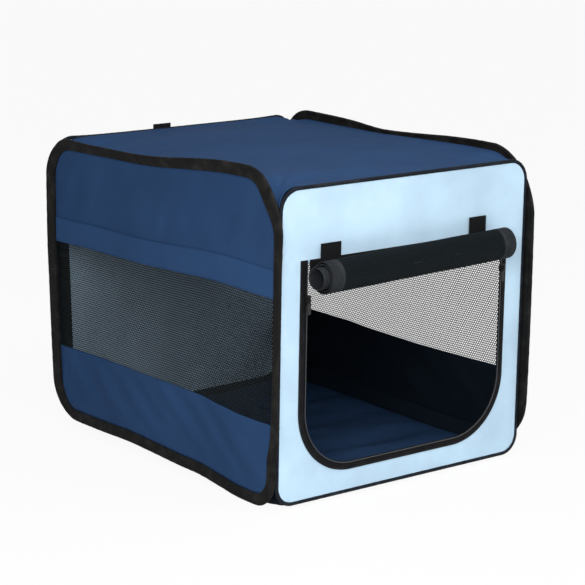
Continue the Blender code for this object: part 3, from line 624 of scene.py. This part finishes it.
def rounded_loop(half_width, low, high, radii, run, rise, bend):
    """Stations round an upright rectangle, whose round corners have the given four radii.

    Each is (across, up, outward angle, phase), with a phase of 0 to 2 from one corner's end to the next.
    """
    signs = ((1, -1), (1, 1), (-1, 1), (-1, -1))
    centres = [
        (across * (half_width - radius), (high - radius) if up > 0 else (low + radius))
        for (across, up), radius in zip(signs, radii)
    ]
    stations = []
    for corner, (centre, radius) in enumerate(zip(centres, radii)):
        angle = (corner - 1) * QUARTER
        start = Vector(centres[corner - 1]) + Vector(polar(radii[corner - 1], angle))
        end = Vector(centre) + Vector(polar(radius, angle))
        steps = rise if corner % 2 else run
        for step in range(steps):
            across, up = start.lerp(end, step / steps)
            stations.append((across, up, angle, 2 * corner + step / steps))
        for step in range(bend):
            turn = angle + step / bend * QUARTER
            x, y = polar(radius, turn)
            stations.append((centre[0] + x, centre[1] + y, turn, 2 * corner + 1 + step / bend))
    return stations


def rounded_outline(half_width, low, high, radii):
    """Anticlockwise outline of such a rectangle."""
    stations = rounded_loop(half_width, low, high, radii, run=1, rise=1, bend=12)
    return [(across, up) for across, up, _, _ in stations]


def distances(places, spans):
    """How far each place is along a chain of places, over a number of spans that may close it."""
    steps = ((places[(step + 1) % len(places)] - places[step]).length for step in range(spans))
    return [0.0, *accumulate(steps)]


def swept(frames, section, closed=True):
    """A grid wrapped along frames of (middle, out, aside), with a section of (out, aside) at each."""
    count = len(frames)
    spans = count if closed else count - 1
    sides = len(section(0))
    bm = grid(spans, sides, 0.5)
    lengths = distances([middle for middle, _, _ in frames], spans)
    rims = distances([Vector(point) for point in section(0)], sides)
    layer = bm.loops.layers.uv.new("cloth")
    spots = {
        vert: (round((vert.co.x + 0.5) * spans), round((vert.co.y + 0.5) * sides)) for vert in bm.verts
    }
    for face in bm.faces:
        for loop in face.loops:
            station, side = spots[loop.vert]
            loop[layer].uv = (lengths[station], rims[side])
    for vert, (station, side) in spots.items():
        middle, out, aside = frames[station % count]
        reach, across = section(station % count)[side % sides]
        vert.co = middle + out * reach + aside * across
    bmesh.ops.remove_doubles(bm, verts=bm.verts, dist=WELD)
    if not closed:
        bmesh.ops.holes_fill(bm, edges=[edge for edge in bm.edges if edge.is_boundary], sides=0)
    bmesh.ops.recalc_face_normals(bm, faces=bm.faces)
    return bm


def net(width, height, reshape):
    """Knitted net with six-sided holes, reshaped from flat; its strands are round the holes."""
    bm = bmesh.new()
    radius = NET_PITCH / sqrt(3)
    bmesh.ops.create_circle(bm, cap_ends=True, segments=6, radius=radius)
    second = bmesh.ops.duplicate(bm, geom=all_of(bm))["geom"]
    bmesh.ops.translate(bm, vec=(NET_PITCH / 2, 1.5 * radius, 0), verts=points_of(second))
    for step, reach in ((Vector((NET_PITCH, 0, 0)), width), (Vector((0, 3 * radius, 0)), height)):
        copies = ceil(reach / step.length) + 1
        bmesh.ops.spin(
            bm, geom=all_of(bm), cent=(0, 0, 0), axis=(0, 0, 1), dvec=step, angle=0, steps=copies,
            use_duplicate=True,
        )
    bmesh.ops.translate(bm, vec=(-width / 2 - NET_PITCH, -height / 2 - radius, 0), verts=bm.verts)
    bmesh.ops.remove_doubles(bm, verts=bm.verts, dist=NET_PITCH / 40)
    right, top = width / 2, height / 2
    trim(bm, [(-right, -top), (right, -top), (right, top), (-right, top)])
    map_cloth(bm)
    reshaped(bm, reshape)
    bmesh.ops.wireframe(
        bm, faces=bm.faces, thickness=NET_STRAND, offset=0, use_replace=True, use_boundary=True,
        use_even_offset=False,
    )
    return bm


# Side walls

def side_height(depth, flat, hand):
    """Real height of a point of a side, between its binding's wavy seams."""
    low = curve_at(LEFT_LOW_SEAM if hand < 0 else RIGHT_LOW_SEAM, depth)
    high = curve_at(LEFT_TOP_SEAM if hand < 0 else RIGHT_TOP_SEAM, depth)
    return blend(low, high, flat / SEAM_HEIGHT)


def side_drape(depth, flat, hand):
    """How far a side's cloth stands out: slack folds that die out at the seams."""
    from_end = HALF_DEPTH - abs(depth)
    from_seam = min(flat, SEAM_HEIGHT - flat)
    ease = smooth(from_end / 0.050) * smooth(from_seam / 0.050)
    seed = 3.7 if hand > 0 else 0.0
    broad = soft_noise(depth * 7 + seed, flat * 3.5, seed) * 0.0050
    upper = smooth((flat - 0.33) / 0.06)
    fan = soft_noise((depth + (flat - 0.45) * 0.5) * 22 + seed, flat * 3, 5.0 + seed) * 0.0034 * upper
    low = smooth((0.14 - flat) / 0.05)
    slant = soft_noise((depth * 0.8 - flat) * 26 + seed, flat * 7, 9.0 + seed) * 0.0040 * low
    gather = 0.0
    corner = hypot(HALF_DEPTH - 0.02 - depth, flat - 0.02)
    if corner < 0.12:
        turn = atan2(flat, HALF_DEPTH - depth)
        gather = sin(turn * 24 + seed) * 0.0016 * smooth(1 - corner / 0.12) * smooth(corner / 0.03)
    return (broad + fan + slant) * ease + gather * smooth(from_end / 0.02) * smooth(from_seam / 0.02)


def side_placing(hand, layer=0.0):
    """Reshapes flat side cloth (depth, flat height) on to a side of the crate."""
    def reshape(place):
        out = SIDE_PLANE + side_drape(place.x, place.y, hand) + layer
        return Vector((hand * out, place.x, side_height(place.x, place.y, hand)))
    return reshape


def side_cloth(prefix, hand, word, node_word, low, high, material=navy_cloth, layer=0.0, wall=CLOTH):
    """A band of a side's cloth between two flat heights."""
    bm = flat_cloth((-HALF_DEPTH, low), (HALF_DEPTH, high), SIDE_CELL)
    trim(bm, rounded_outline(HALF_DEPTH - 0.0018, -0.0036, SEAM_HEIGHT + 0.0036, SIDE_CORNERS))
    map_cloth(bm)
    reshaped(bm, side_placing(hand, layer))
    face_towards(bm, Vector((hand, 0, 0)))
    name, node = f"{prefix}_{word}", f"{prefix}_{node_word}"
    # The inner faces get the near-black lining, painted shade for the crate's inside.
    return finish_piece(name, bm, material, f"{prefix}_side", node, wall, lining=painted_shade_lining)


def side_frames(hand):
    """Middle of the wire, way out and way aside round a side's binding."""
    lean_table = LEFT_LEAN if hand < 0 else RIGHT_LEAN
    inset_table = LEFT_FRONT_INSET if hand < 0 else RIGHT_FRONT_INSET
    stations = rounded_loop(HALF_DEPTH, 0, SEAM_HEIGHT, SIDE_CORNERS, run=150, rise=110, bend=26)
    frames = []
    for depth, flat, angle, phase in stations:
        height = side_height(depth, flat, hand)
        inset = curve_at(inset_table, height) * smooth((-0.20 - depth) / 0.09)
        aside = SIDE_PLANE + BINDING_ASIDE * cos(angle) ** 2
        seat = Vector((hand * aside, depth + inset, height))
        in_plane = Vector((0, cos(angle), sin(angle)))
        lean = radians(curve_at(lean_table, phase))
        out = in_plane * cos(lean) + Vector((hand, 0, 0)) * sin(lean)
        along = Vector((0, -sin(angle), cos(angle)))
        frames.append((seat + out * (BINDING_WIDTH - SLEEVE_RADIUS), out, out.cross(along).normalized()))
    return stations, frames


def wire_loop(prefix, body, frames):
    """The spring wire inside a sleeve, and the crimped tube that closes it."""
    bm = swept(frames, lambda station: ring(WIRE_RADIUS, 8))
    finish_piece(f"{prefix}_spring_wire", bm, wire_steel, body, f"{prefix}_wire", angle=0)
    box_low, box_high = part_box(f"{prefix}_wire_ferrule")
    centre = (Vector(box_low) + Vector(box_high)) / 2
    nearest = min(range(3, len(frames) - 3), key=lambda station: (frames[station][0] - centre).length)
    short = frames[nearest - 2:nearest + 3]
    tube, mouth = ring(WIRE_RADIUS + 0.0007, 10), ring(WIRE_RADIUS + 0.0005, 10)
    bm = swept(short, lambda station: tube if 0 < station < 4 else mouth, closed=False)
    finish_piece(f"{prefix}_crimped_tube", bm, wire_steel, body, f"{prefix}_wire_ferrule")


def side_binding(prefix, hand, body):
    """The wide puckered binding in line with a side, round its wire."""
    stations, frames = side_frames(hand)
    wire_loop(prefix, body, frames)
    flap = BINDING_WIDTH - SLEEVE_RADIUS
    seed = 11.0 if hand > 0 else 0.0

    def section(station):
        depth, flat, angle, _ = stations[station]
        rear, front_top = max(cos(angle), 0.0), max(-sin(2 * angle), 0.0) * (sin(angle) > 0)
        hem = -flap - BINDING_LAP * max(rear, front_top) ** 2
        pucker = 0.00035 * soft_noise(depth * 90 + seed, flat * 90, 0.0)
        flute = 0.0005 * soft_noise(depth * 45, flat * 45, 4.0 + seed)
        low, high = FLAP_HALF + 0.0003, FLAP_HALF + 0.0006
        outward = [(hem, FLAP_HALF), (-flap * 0.75, flute + low), (-flap * 0.45, flute + high)]
        inward = [(-flap * 0.45, flute - high), (-flap * 0.75, flute - low), (hem, -FLAP_HALF)]
        return outward + arc(SLEEVE_SKIN + pucker, 2.2) + inward

    bm = swept(frames, section)
    node = f"{prefix}_binding"
    finish_piece(f"{prefix}_side_binding", bm, side_tape, body, node, angle=60)


def side_wall(prefix, hand):
    """Everything sewn on one side's loop."""
    body = f"{prefix}_side"
    window_low, window_high, hem_high = WINDOW_LOW - SEAM_LOW, WINDOW_HIGH - SEAM_LOW, HEM_HIGH - SEAM_LOW
    hem_layer = CLOTH / 2 + SEAM_GAP + HEM_CLOTH / 2
    upper = side_cloth(prefix, hand, "upper_cloth", "upper_panel", window_high, SEAM_HEIGHT)
    lower = side_cloth(prefix, hand, "lower_cloth", "lower_panel", 0.0, window_low)
    hem = side_cloth(
        prefix, hand, "hem_band", "window_hem", window_high, hem_high, hem_cloth, hem_layer, HEM_CLOTH
    )
    width, height = 2 * (HALF_DEPTH - WINDOW_INSET), window_high - window_low
    middle = Vector((0, (window_high + window_low) / 2, 0))
    reshape = side_placing(hand)
    mesh = net(width, height, lambda place: reshape(place + middle))
    window = finish_piece(
        f"{prefix}_window_net", mesh, black_net, body, f"{prefix}_mesh_window", angle=0
    )
    side_binding(prefix, hand, body)
    width, height = 2 * HALF_DEPTH, SEAM_HEIGHT - window_high


# End walls

def door_outline(inset, top, steps=14):
    """The door opening's U from its top left corner round to its top right corner."""
    half = DOOR_HALF - inset
    low = DOOR_LOW + inset
    radius = DOOR_CORNER - inset
    outline = [(-half, top)]
    for side, start in ((-1, pi), (1, 1.5 * pi)):
        for step in range(steps + 1):
            x, y = polar(radius, start + step / steps * QUARTER)
            outline.append((side * (half - radius) + x, low + radius + y))
    outline.append((half, top))
    return outline


def end_drape(across, up, side):
    """How far an end wall's cloth is from flat, inwards."""
    from_edge = min(HALF_WIDTH - SEAM_TAPE_REACH - abs(across), up - WALL_LOW, WALL_HIGH - up)
    ease = smooth(from_edge / 0.040)
    seed = 21.0 if side > 0 else 0.0
    depth = 0.0016 + 0.0016 * soft_noise(across * 7 + seed, up * 7, seed)
    slant = 0.0022 * soft_noise((across * 0.8 - up) * 20 + seed, (across + up) * 6, 2.0 + seed)
    if side > 0:
        middle = smooth((0.26 - (HALF_WIDTH - abs(across))) / 0.2)
        return (depth * 1.5 + slant + 0.0045 * soft_noise(across * 14, up * 3.0, 31.0) * middle) * ease
    calm = smooth((up - DOOR_TOP - 0.02) / 0.05) if abs(across) < DOOR_HALF + 0.01 else 0.3
    return (depth + slant * smooth((across + 0.1) / 0.3)) * ease * calm


def end_wall(prefix, side, material):
    """Cloth and piping of the front (side -1) or back (side 1) wall."""
    bm = flat_cloth((-HALF_WIDTH, WALL_LOW), (HALF_WIDTH, WALL_HIGH), END_CELL)
    inset = 2 * SLEEVE_RADIUS - CLOTH
    radii = [radius - inset for radius in END_CORNERS[side]]
    trim(bm, rounded_outline(HALF_WIDTH - inset, WALL_LOW + inset, WALL_HIGH - inset, radii))
    width, height = 2 * HALF_WIDTH, WALL_HIGH - WALL_LOW
    area = width * height
    if side < 0:
        cut_hole(bm, door_outline(0.006, DOOR_TOP - 0.006), END_CELL)
        area *= FRONT_SHARE
    map_cloth(bm)
    reshaped(bm, lambda flat: (flat.x, side * (HALF_DEPTH - end_drape(flat.x, flat.y, side)), flat.y))
    face_towards(bm, Vector((0, side, 0)))
    cloth = finish_piece(f"{prefix}_cloth", bm, material, prefix, f"{prefix}_panel", CLOTH)

    radii = [radius - SLEEVE_RADIUS for radius in END_CORNERS[side]]
    low, high = WALL_LOW + SLEEVE_RADIUS, WALL_HIGH - SLEEVE_RADIUS
    stations = rounded_loop(HALF_WIDTH - SLEEVE_RADIUS, low, high, radii, run=150, rise=150, bend=24)
    frames = []
    for across, up, angle, _ in stations:
        out = Vector((cos(angle), 0, sin(angle)))
        frames.append((Vector((across, side * HALF_DEPTH, up)), out, Vector((0, 1, 0))))

    def section(station):
        across, up, _, _ = stations[station]
        radius = SLEEVE_SKIN + 0.00022 * soft_noise(across * 150, up * 150, side)
        mouth, neck = -radius * 1.2, FLAP_HALF - 0.0006
        return [(mouth, neck), *arc(radius, 2.4), (mouth, -neck)]

    wire_loop(prefix, prefix, frames)
    bm = swept(frames, section)
    node = f"{prefix}_piping"
    finish_piece(f"{prefix}_edge_piping", bm, piping_tape, prefix, node, angle=60)
    end_seam_tapes(prefix, side)


def headings(route):
    """The way along a route at each of its points."""
    ends = zip(route[:1] + route[:-1], route[1:] + route[-1:])
    return [(ahead - behind).normalized() for behind, ahead in ends]


def flat_frames(route, out):
    """Frames along a route on a wall that faces a given way."""
    return [(place, out, along.cross(out).normalized()) for place, along in zip(route, headings(route))]


def tape_section(half, thick):
    """A flat tape's section, with softened edges."""
    side = half * 0.97
    return [
        (thick, -side), (thick, -half * 0.5), (thick, half * 0.5), (thick, side),
        (thick * 0.5, half), (0.0, side), (0.0, -side), (thick * 0.5, -half),
    ]


def webbing_section(half, thick, swell, edge):
    """Webbing's section, with a swell in its middle and round edges."""
    return [
        (thick, -half), (thick + swell, 0), (thick, half), (thick / 2, half + edge),
        (0, half), (0, -half), (thick / 2, -half - edge),
    ]


def end_seam_tapes(prefix, side):
    """Tapes that cover the corner seams inside an end wall."""
    half, low, high = 0.010, 0.053, 0.455
    inner = HALF_WIDTH - 2 * SLEEVE_RADIUS - SEAM_GAP
    layer = side * (HALF_DEPTH - CLOTH / 2 - SEAM_GAP)
    for word, hand in (("left", -1), ("right", 1)):
        across = hand * (inner - half)
        route = [Vector((across, layer, blend(low, high, step / 60))) for step in range(61)]
        frames = flat_frames(route, Vector((0, -side, 0)))
        bm = swept(frames, lambda station: tape_section(half, TAPE), closed=False)
        node = f"{prefix}_{word}_seam_tape"
        finish_piece(f"{prefix}_{word}_corner_tape", bm, seam_tape, prefix, node)


def rear_tab():
    """Webbing tab on the back wall, bent over the piping."""
    across = -0.0317
    top = WALL_HIGH - SLEEVE_RADIUS
    hug = SLEEVE_RADIUS + SEAM_GAP
    flat = HALF_DEPTH + CLOTH / 2 + SEAM_GAP
    route = [Vector((across, flat, blend(top - 0.034, top - 0.006, step / 10))) for step in range(11)]
    for step in range(9):
        y, z = polar(hug, blend(-0.6, QUARTER / 2, step / 8))
        route.append(Vector((across, HALF_DEPTH + y, top + z)))
    last = route[-1]
    route += [last + Vector((0, 0, 0.0075)) * step / 3 for step in range(1, 4)]
    aside = Vector((1, 0, 0))
    section = webbing_section(half=0.019, thick=0.0012, swell=0.0001, edge=0.0003)
    frames = [(place, along.cross(aside), aside) for place, along in zip(route, headings(route))]
    bm = swept(frames, lambda station: section, closed=False)
    finish_piece("rear_webbing_tab", bm, tab_webbing, "back", "rear_tab")


# Door

def fine_door_route(inset, layer):
    """Evenly spaced points along the door's U."""
    corners = [Vector((across, -layer, up)) for across, up in door_outline(inset, DOOR_TOP, 40)]
    route = []
    for start, end in zip(corners, corners[1:]):
        steps = max(round((end - start).length / 0.0045), 1)
        route += [start.lerp(end, step / steps) for step in range(steps)]
    return route + corners[-1:]


def zip_parts():
    """The zip's tape and its row of coils."""
    half = ZIP_TAPE_WIDTH / 2
    frames = flat_frames(fine_door_route(half, ZIP_FACE - TAPE), FORWARD)
    bm = swept(frames, lambda station: tape_section(half, TAPE), closed=False)
    finish_piece("zip_tape", bm, zip_tape, "front", "door_zip_tape")

    corners = fine_door_route(COIL_INSET, COIL_LAYER)
    reached = distances(corners, len(corners) - 1)
    count = round(reached[-1] / COIL_PITCH * 2)
    route = []
    for step in range(count + 1):
        goal = reached[-1] * step / count
        after = max(bisect_left(reached, goal, hi=len(corners) - 1), 1)
        share = min((goal - reached[after - 1]) / (reached[after] - reached[after - 1]), 1.0)
        route.append(corners[after - 1].lerp(corners[after], share))

    def section(station):
        return ring(COIL_RADIUS * (1.0 if station % 2 else 0.62), 6)

    bm = swept(flat_frames(route, FORWARD), section, closed=False)
    finish_piece("zip_coils", bm, coil_nylon, "front", "door_zip_coil", angle=0)


def turn_at(length):
    """Turns wound off by a length of cloth from the outer end."""
    inner = sqrt(max(ROLL_RADIUS * ROLL_RADIUS - ROLL_PITCH * length / pi, 0.0))
    return (ROLL_RADIUS - inner) / ROLL_PITCH


def rolled(place):
    """Reshapes flat door cloth (across, length from the outer end at the back) into the roll."""
    turn = turn_at(place.y)
    ripple = 0.0006 * soft_noise(place.x * 18, turn * 2.5, 2.0) * smooth(turn * 3)
    depth, drop = polar(ROLL_RADIUS - ROLL_PITCH * turn + ripple - 0.0003, ROUND * turn)
    from_right = (ROLL_RIGHT - place.x) / (ROLL_RIGHT - ROLL_LEFT)
    across = place.x - ROLL_PEEK * smooth((turn - 1.7) / 0.3) * smooth(from_right)
    return Vector((across, depth - ROLL_LAYER, ROLL_HEIGHT - drop + across * ROLL_SLOPE))


def door_cloth():
    """The rolled net door, its edge tapes, and the strip of door above the roll."""
    length = pi * ROLL_TURNS * (2 * ROLL_RADIUS - ROLL_PITCH * ROLL_TURNS)
    left_seam, right_seam = ROLL_LEFT + ROLL_TAPE, ROLL_RIGHT - ROLL_TAPE
    width, lap = right_seam - left_seam, 0.0015
    middle = Vector(((left_seam + right_seam) / 2, length / 2, 0))
    mesh = net(width, length, lambda place: rolled(place + middle))
    rolled_net = finish_piece("rolled_net", mesh, black_net, "door", "door_roll", angle=0)
    for word, low, high in (("left", ROLL_LEFT, left_seam + lap), ("right", right_seam - lap, ROLL_RIGHT)):
        bm = flat_cloth((low, 0.0), (high, length), cell=0.0021)
        map_cloth(bm, lambda place: (place.y, min(place.x - ROLL_LEFT, ROLL_RIGHT - place.x)))
        reshaped(bm, rolled)
        bmesh.ops.recalc_face_normals(bm, faces=bm.faces)
        node = f"door_roll_{word}_tape"
        finish_piece(f"{word}_rolled_tape", bm, roll_tape, "door", node, 0.0019)
    bm = flat_cloth((ROLL_LEFT, DOOR_TOP - HEAD_STRIP), (ROLL_RIGHT, DOOR_TOP), cell=0.0045)
    map_cloth(bm)
    reshaped(bm, lambda flat: (flat.x, 0.0005 - CURTAIN_FACE, flat.y))
    strip = finish_piece("door_head_strip", bm, seam_tape, None, "door_curtain", 0.0008)
    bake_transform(strip)


def roll_tab(prefix, place, top, width):
    """A webbing tab sewn on above the door, with its free end behind the roll."""
    route = [Vector((place, TAB_CLOTH - TAB_FACE, top - TAB_LENGTH * step / 24)) for step in range(25)]

    def section(station):
        near_end = max(station - 20, 0) / 4
        half = width / 2 * (1.0 - 0.10 * near_end * near_end)
        return webbing_section(half, TAB_CLOTH, swell=0.0, edge=0.0002)

    bm = swept(flat_frames(route, FORWARD), section, closed=False)
    body, node = f"{prefix}_tab", f"{prefix}_roll_tab"
    finish_piece(f"{prefix}_webbing_tab", bm, tab_webbing, body, node)


# Roof, floor and mat

def corner_pull(from_side, from_end, corner):
    """How far cloth is drawn in where it fills a corner, of the given number, between two loops."""
    end_radius = END_CORNERS[1 if corner < 2 else -1][corner]
    along_end = from_side / end_radius
    along_side = from_end / SIDE_CORNERS[corner]
    near = hypot(along_end, along_side)
    if near >= 1.0:
        return 0.0
    lean = atan2(along_side, along_end) / QUARTER
    return blend(end_radius, SIDE_CORNERS[corner], lean) * (1.0 - sqrt(1.0 - (1.0 - near) ** 2))


def plan_cloth(cells):
    """A grid over the crate's plan, with finer cells towards the edges."""
    bm = grid(cells, cells, 1)
    reshaped(
        bm, lambda place: (ROOF_HALF * sin(place.x * QUARTER), ROOF_HALF_DEPTH * sin(place.y * QUARTER), 0)
    )
    map_cloth(bm)
    return bm


def to_edges(across, depth):
    """How far a point of the roof or the floor is from its nearest side and its nearest end."""
    return max(ROOF_HALF - abs(across), 0.0), max(ROOF_HALF_DEPTH - abs(depth), 0.0)


def fold_flat(piece):
    """Give a piece its own copy of its mesh."""
    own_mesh(piece)


def corner_rays(across, depth):
    """Slack folds that run out of the roof's four corners."""
    folds = 0.0
    for hand_x in (-1, 1):
        for hand_y in (-1, 1):
            dx, dy = ROOF_HALF - hand_x * across, ROOF_HALF_DEPTH - hand_y * depth
            away = hypot(dx, dy)
            wave = sin(atan2(dy, dx) * 17 + hand_x * 2 + hand_y)
            folds += 0.0016 * wave * smooth(1 - away / 0.20) * smooth(away / 0.05)
    return folds


def roof():
    """The roof cloth, stretched over the loops."""
    bm = plan_cloth(110)
    for vert in bm.verts:
        across, depth, _ = vert.co
        from_side, from_end = to_edges(across, depth)
        left_seam = side_height(depth, SEAM_HEIGHT, -1) + CLOTH
        side_seam = left_seam if across < 0 else curve_at(ROOF_RIGHT_EDGE, depth)
        swell = cos(across / ROOF_HALF * QUARTER) * cos(depth / ROOF_HALF_DEPTH * QUARTER)
        folds = 0.0012 * soft_noise(across * 9, depth * 9, 1.0) + corner_rays(across, depth)
        folds += 0.0022 * soft_noise(across * 2.5 + depth * 4, depth * 24, 6.0)
        folds *= smooth(from_side / 0.03) * smooth(from_end / 0.03)
        span = 2.0 + 8.0 * smooth(1.0 - from_end / 0.060)
        height = blend(ROOF_SEAM, side_seam, abs(across / ROOF_HALF) ** span) + ROOF_CROWN * swell + folds
        vert.co.z = height - corner_pull(from_side, from_end, 1 if depth > 0 else 2)
    # The roof's underside gets the near-black lining, painted shade for the crate's inside.
    piece = finish_piece(
        "roof_cloth", bm, navy_cloth, "root", "top_panel",
        wall=CLOTH, wall_side=-1, angle=0, lining=painted_shade_lining,
    )
    fold_flat(piece)


def floor_sag(across, depth):
    """Height of the floor cloth where it hangs from a side's bottom seam down to the ground."""
    hand = -1 if across < 0 else 1
    hang = side_height(depth, 0, hand) - BINDING_WIDTH
    return max(hang, 0.0) * max(1.0 - (ROOF_HALF - abs(across)) / SAG_REACH, 0.0) ** 2


def floor_cloth():
    """The floor cloth: on the ground in the middle, turned up at its seams and round at its corners."""
    bm = plan_cloth(90)
    for vert in bm.verts:
        across, depth = vert.co.x, vert.co.y
        from_side, from_end = to_edges(across, depth)
        hand = -1 if across < 0 else 1
        seam = side_height(depth, 0, hand)
        side_rise = blend(floor_sag(across, depth), seam, smooth(1.0 - from_side / 0.018))
        end_rise = 0.0045 * smooth(1.0 - from_end / 0.018)
        pull = corner_pull(from_side, from_end, 0 if depth > 0 else 3)
        vert.co.x -= hand * pull * 0.8
        vert.co.y -= copysign(pull * 0.8, depth)
        vert.co.z = max(side_rise, end_rise) + pull
    # The floor cloth is the near-black lining, painted shade for the crate's inside.
    piece = finish_piece(
        "floor_cloth", bm, painted_shade_lining, "root", "floor_panel", wall=0.0028, wall_side=1, angle=0
    )
    fold_flat(piece)


def mat():
    """The padded mat, with its cover's folds and puffed channels."""
    half_width, half_length = ROOF_HALF - 0.024, ROOF_HALF_DEPTH - 0.027
    bm = grid(70, 84, 1)
    uv = bm.loops.layers.uv.new("cloth")
    lifted = bmesh.ops.extrude_face_region(bm, geom=bm.faces[:])
    top = set(points_of(lifted["geom"]))
    for face in bm.faces:
        for loop in face.loops:
            loop[uv].uv = (loop.vert.co.x * half_width, loop.vert.co.y * half_length)
    for vert in bm.verts:
        across, along = vert.co.x, vert.co.y
        rim = (1.0 - across ** 8) * (1.0 - along ** 8)
        corner = 1.0 - 0.05 * (across * along) ** 4
        vert.co.x = corner * across * (half_width - 0.005 * (1.0 - along * along))
        vert.co.y = corner * along * (half_length - 0.005 * (1.0 - across * across))
        base = 0.0033
        if vert in top:
            bulge = sqrt(max(1.0 - across * across, 0.0)) * sqrt(max(1.0 - along * along, 0.0))
            share = (along + 1.0) / 2
            drift = 0.012 * soft_noise(vert.co.x * 6, share * 3, 3.0)
            fold = max(smooth(1.0 - abs(share + drift - place) * 15) for place in (0.22, 0.46, 0.70, 0.86))
            ridge = 0.0035 * soft_noise(vert.co.x * 4, vert.co.y * 26 + vert.co.x * 5, 7.0)
            small = 0.0012 * soft_noise(vert.co.x * 30, vert.co.y * 42, 8.0)
            puff = 0.010 * bulge - 0.005 * fold + ridge + small
            vert.co.z = base + 0.003 + 0.008 * rim ** 0.5 + puff * rim
        else:
            vert.co.z = base + 0.0025 * (1.0 - rim ** 0.5)
        vert.co.z += floor_sag(vert.co.x, vert.co.y)
    bmesh.ops.recalc_face_normals(bm, faces=bm.faces)
    piece = finish_piece("padded_mat", bm, mat_cloth, "mat", "floor_mat", angle=0)
    fold_flat(piece)


def enamelled_pieces():
    """Enamel for the zip's sliders and pulls, which show as the frame has them."""
    for node in ("left_zip_slider", "right_zip_slider", "left_zip_pull", "right_zip_pull"):
        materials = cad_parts[node].data.materials
        materials.clear()
        materials.append(slider_enamel)


# Studio

def seen_straight(tree):
    """1 where the camera looks, also through glass or at a reflection, and 0 for the light's own rays."""
    paths = add_node(tree, "ShaderNodeLightPath").outputs
    seen = paths["Is Camera Ray"]
    for name in ("Is Glossy Ray", "Is Transmission Ray"):
        seen = add_node(tree, "ShaderNodeMath", {0: seen, 1: paths[name]}, operation="MAXIMUM").outputs[0]
    return seen


def backdrop():
    """A plain pale floor that keeps the crate's soft shadow."""
    mesh = mesh_of("studio_floor", grid(1, 1, 60))
    floor = in_scene("studio_floor", mesh)
    floor.location.z = -0.0003
    finish = Finish("studio floor", grey(0.88), 0.9)
    glow = finish.node("ShaderNodeEmission", {"Color": (1, 1, 1, 1), "Strength": 1.0}).outputs[0]
    seen = Value(finish, seen_straight(finish.tree))
    mixed = finish.node("ShaderNodeMixShader", {0: seen * 0.93, 1: finish.shader.outputs[0], 2: glow})
    output = next(node for node in finish.tree.nodes if node.type == "OUTPUT_MATERIAL")
    feed(finish.tree, output.inputs["Surface"], mixed.outputs[0])
    mesh.materials.append(finish.material)


def surround(strength):
    """Even light from all round, and plain white where the camera looks past the crate."""
    world = bpy.data.worlds.new("studio")
    bpy.context.scene.world = world
    world.use_nodes = True
    tree = world.node_tree
    tree.nodes.clear()
    light = {"Color": (0.95, 0.97, 1.0, 1), "Strength": strength}
    soft = add_node(tree, "ShaderNodeBackground", light).outputs[0]
    white = add_node(tree, "ShaderNodeBackground").outputs[0]
    mixed = add_node(tree, "ShaderNodeMixShader", {0: seen_straight(tree), 1: soft, 2: white}).outputs[0]
    add_node(tree, "ShaderNodeOutputWorld", {0: mixed})


def lamp(name, place, aim, size, power):
    light = bpy.data.lights.new(name, "AREA")
    light.shape = "DISK"
    light.size = size
    light.energy = power
    holder = in_scene(name, light)
    holder.location = place
    holder.rotation_euler = (Vector(aim) - Vector(place)).to_track_quat("-Z", "Y").to_euler()


def camera():
    """The photograph's view: from the front left and a little above."""
    heading, dip, roll = radians(39.27225), radians(12.86433), radians(0.96876)
    turn = Matrix.Rotation(-heading, 4, "Z") @ Matrix.Rotation(QUARTER - dip, 4, "X")
    holder = in_scene("camera", bpy.data.cameras.new("camera"))
    holder.matrix_world = (
        Matrix.Translation((-2.32413, -2.86792, 1.10308)) @ turn @ Matrix.Rotation(roll, 4, "Z")
    )
    holder.data.lens = 135.57
    holder.data.sensor_width = 36
    bpy.context.scene.camera = holder


camera()
side_wall("left", -1)
side_wall("right", 1)
end_wall("front", -1, pale_cloth)
end_wall("back", 1, pale_cloth)
rear_tab()
zip_parts()
door_cloth()
roll_tab("left", place=-0.162, top=0.420, width=0.040)
roll_tab("right", place=0.151, top=0.427, width=0.036)
roof()
floor_cloth()
mat()
enamelled_pieces()

backdrop()
surround(strength=0.24)
lamp("key", (1.6, -2.2, 1.2), aim=(0, 0, 0.25), size=1.4, power=14)
lamp("side fill", (-1.3, -1.5, 1.1), aim=(0, 0, 0.25), size=1.0, power=25)
lamp("top fill", (-0.1, -0.9, 1.9), aim=(0, 0, 0.4), size=1.0, power=12.5)
bpy.context.scene.view_settings.view_transform = "Standard"
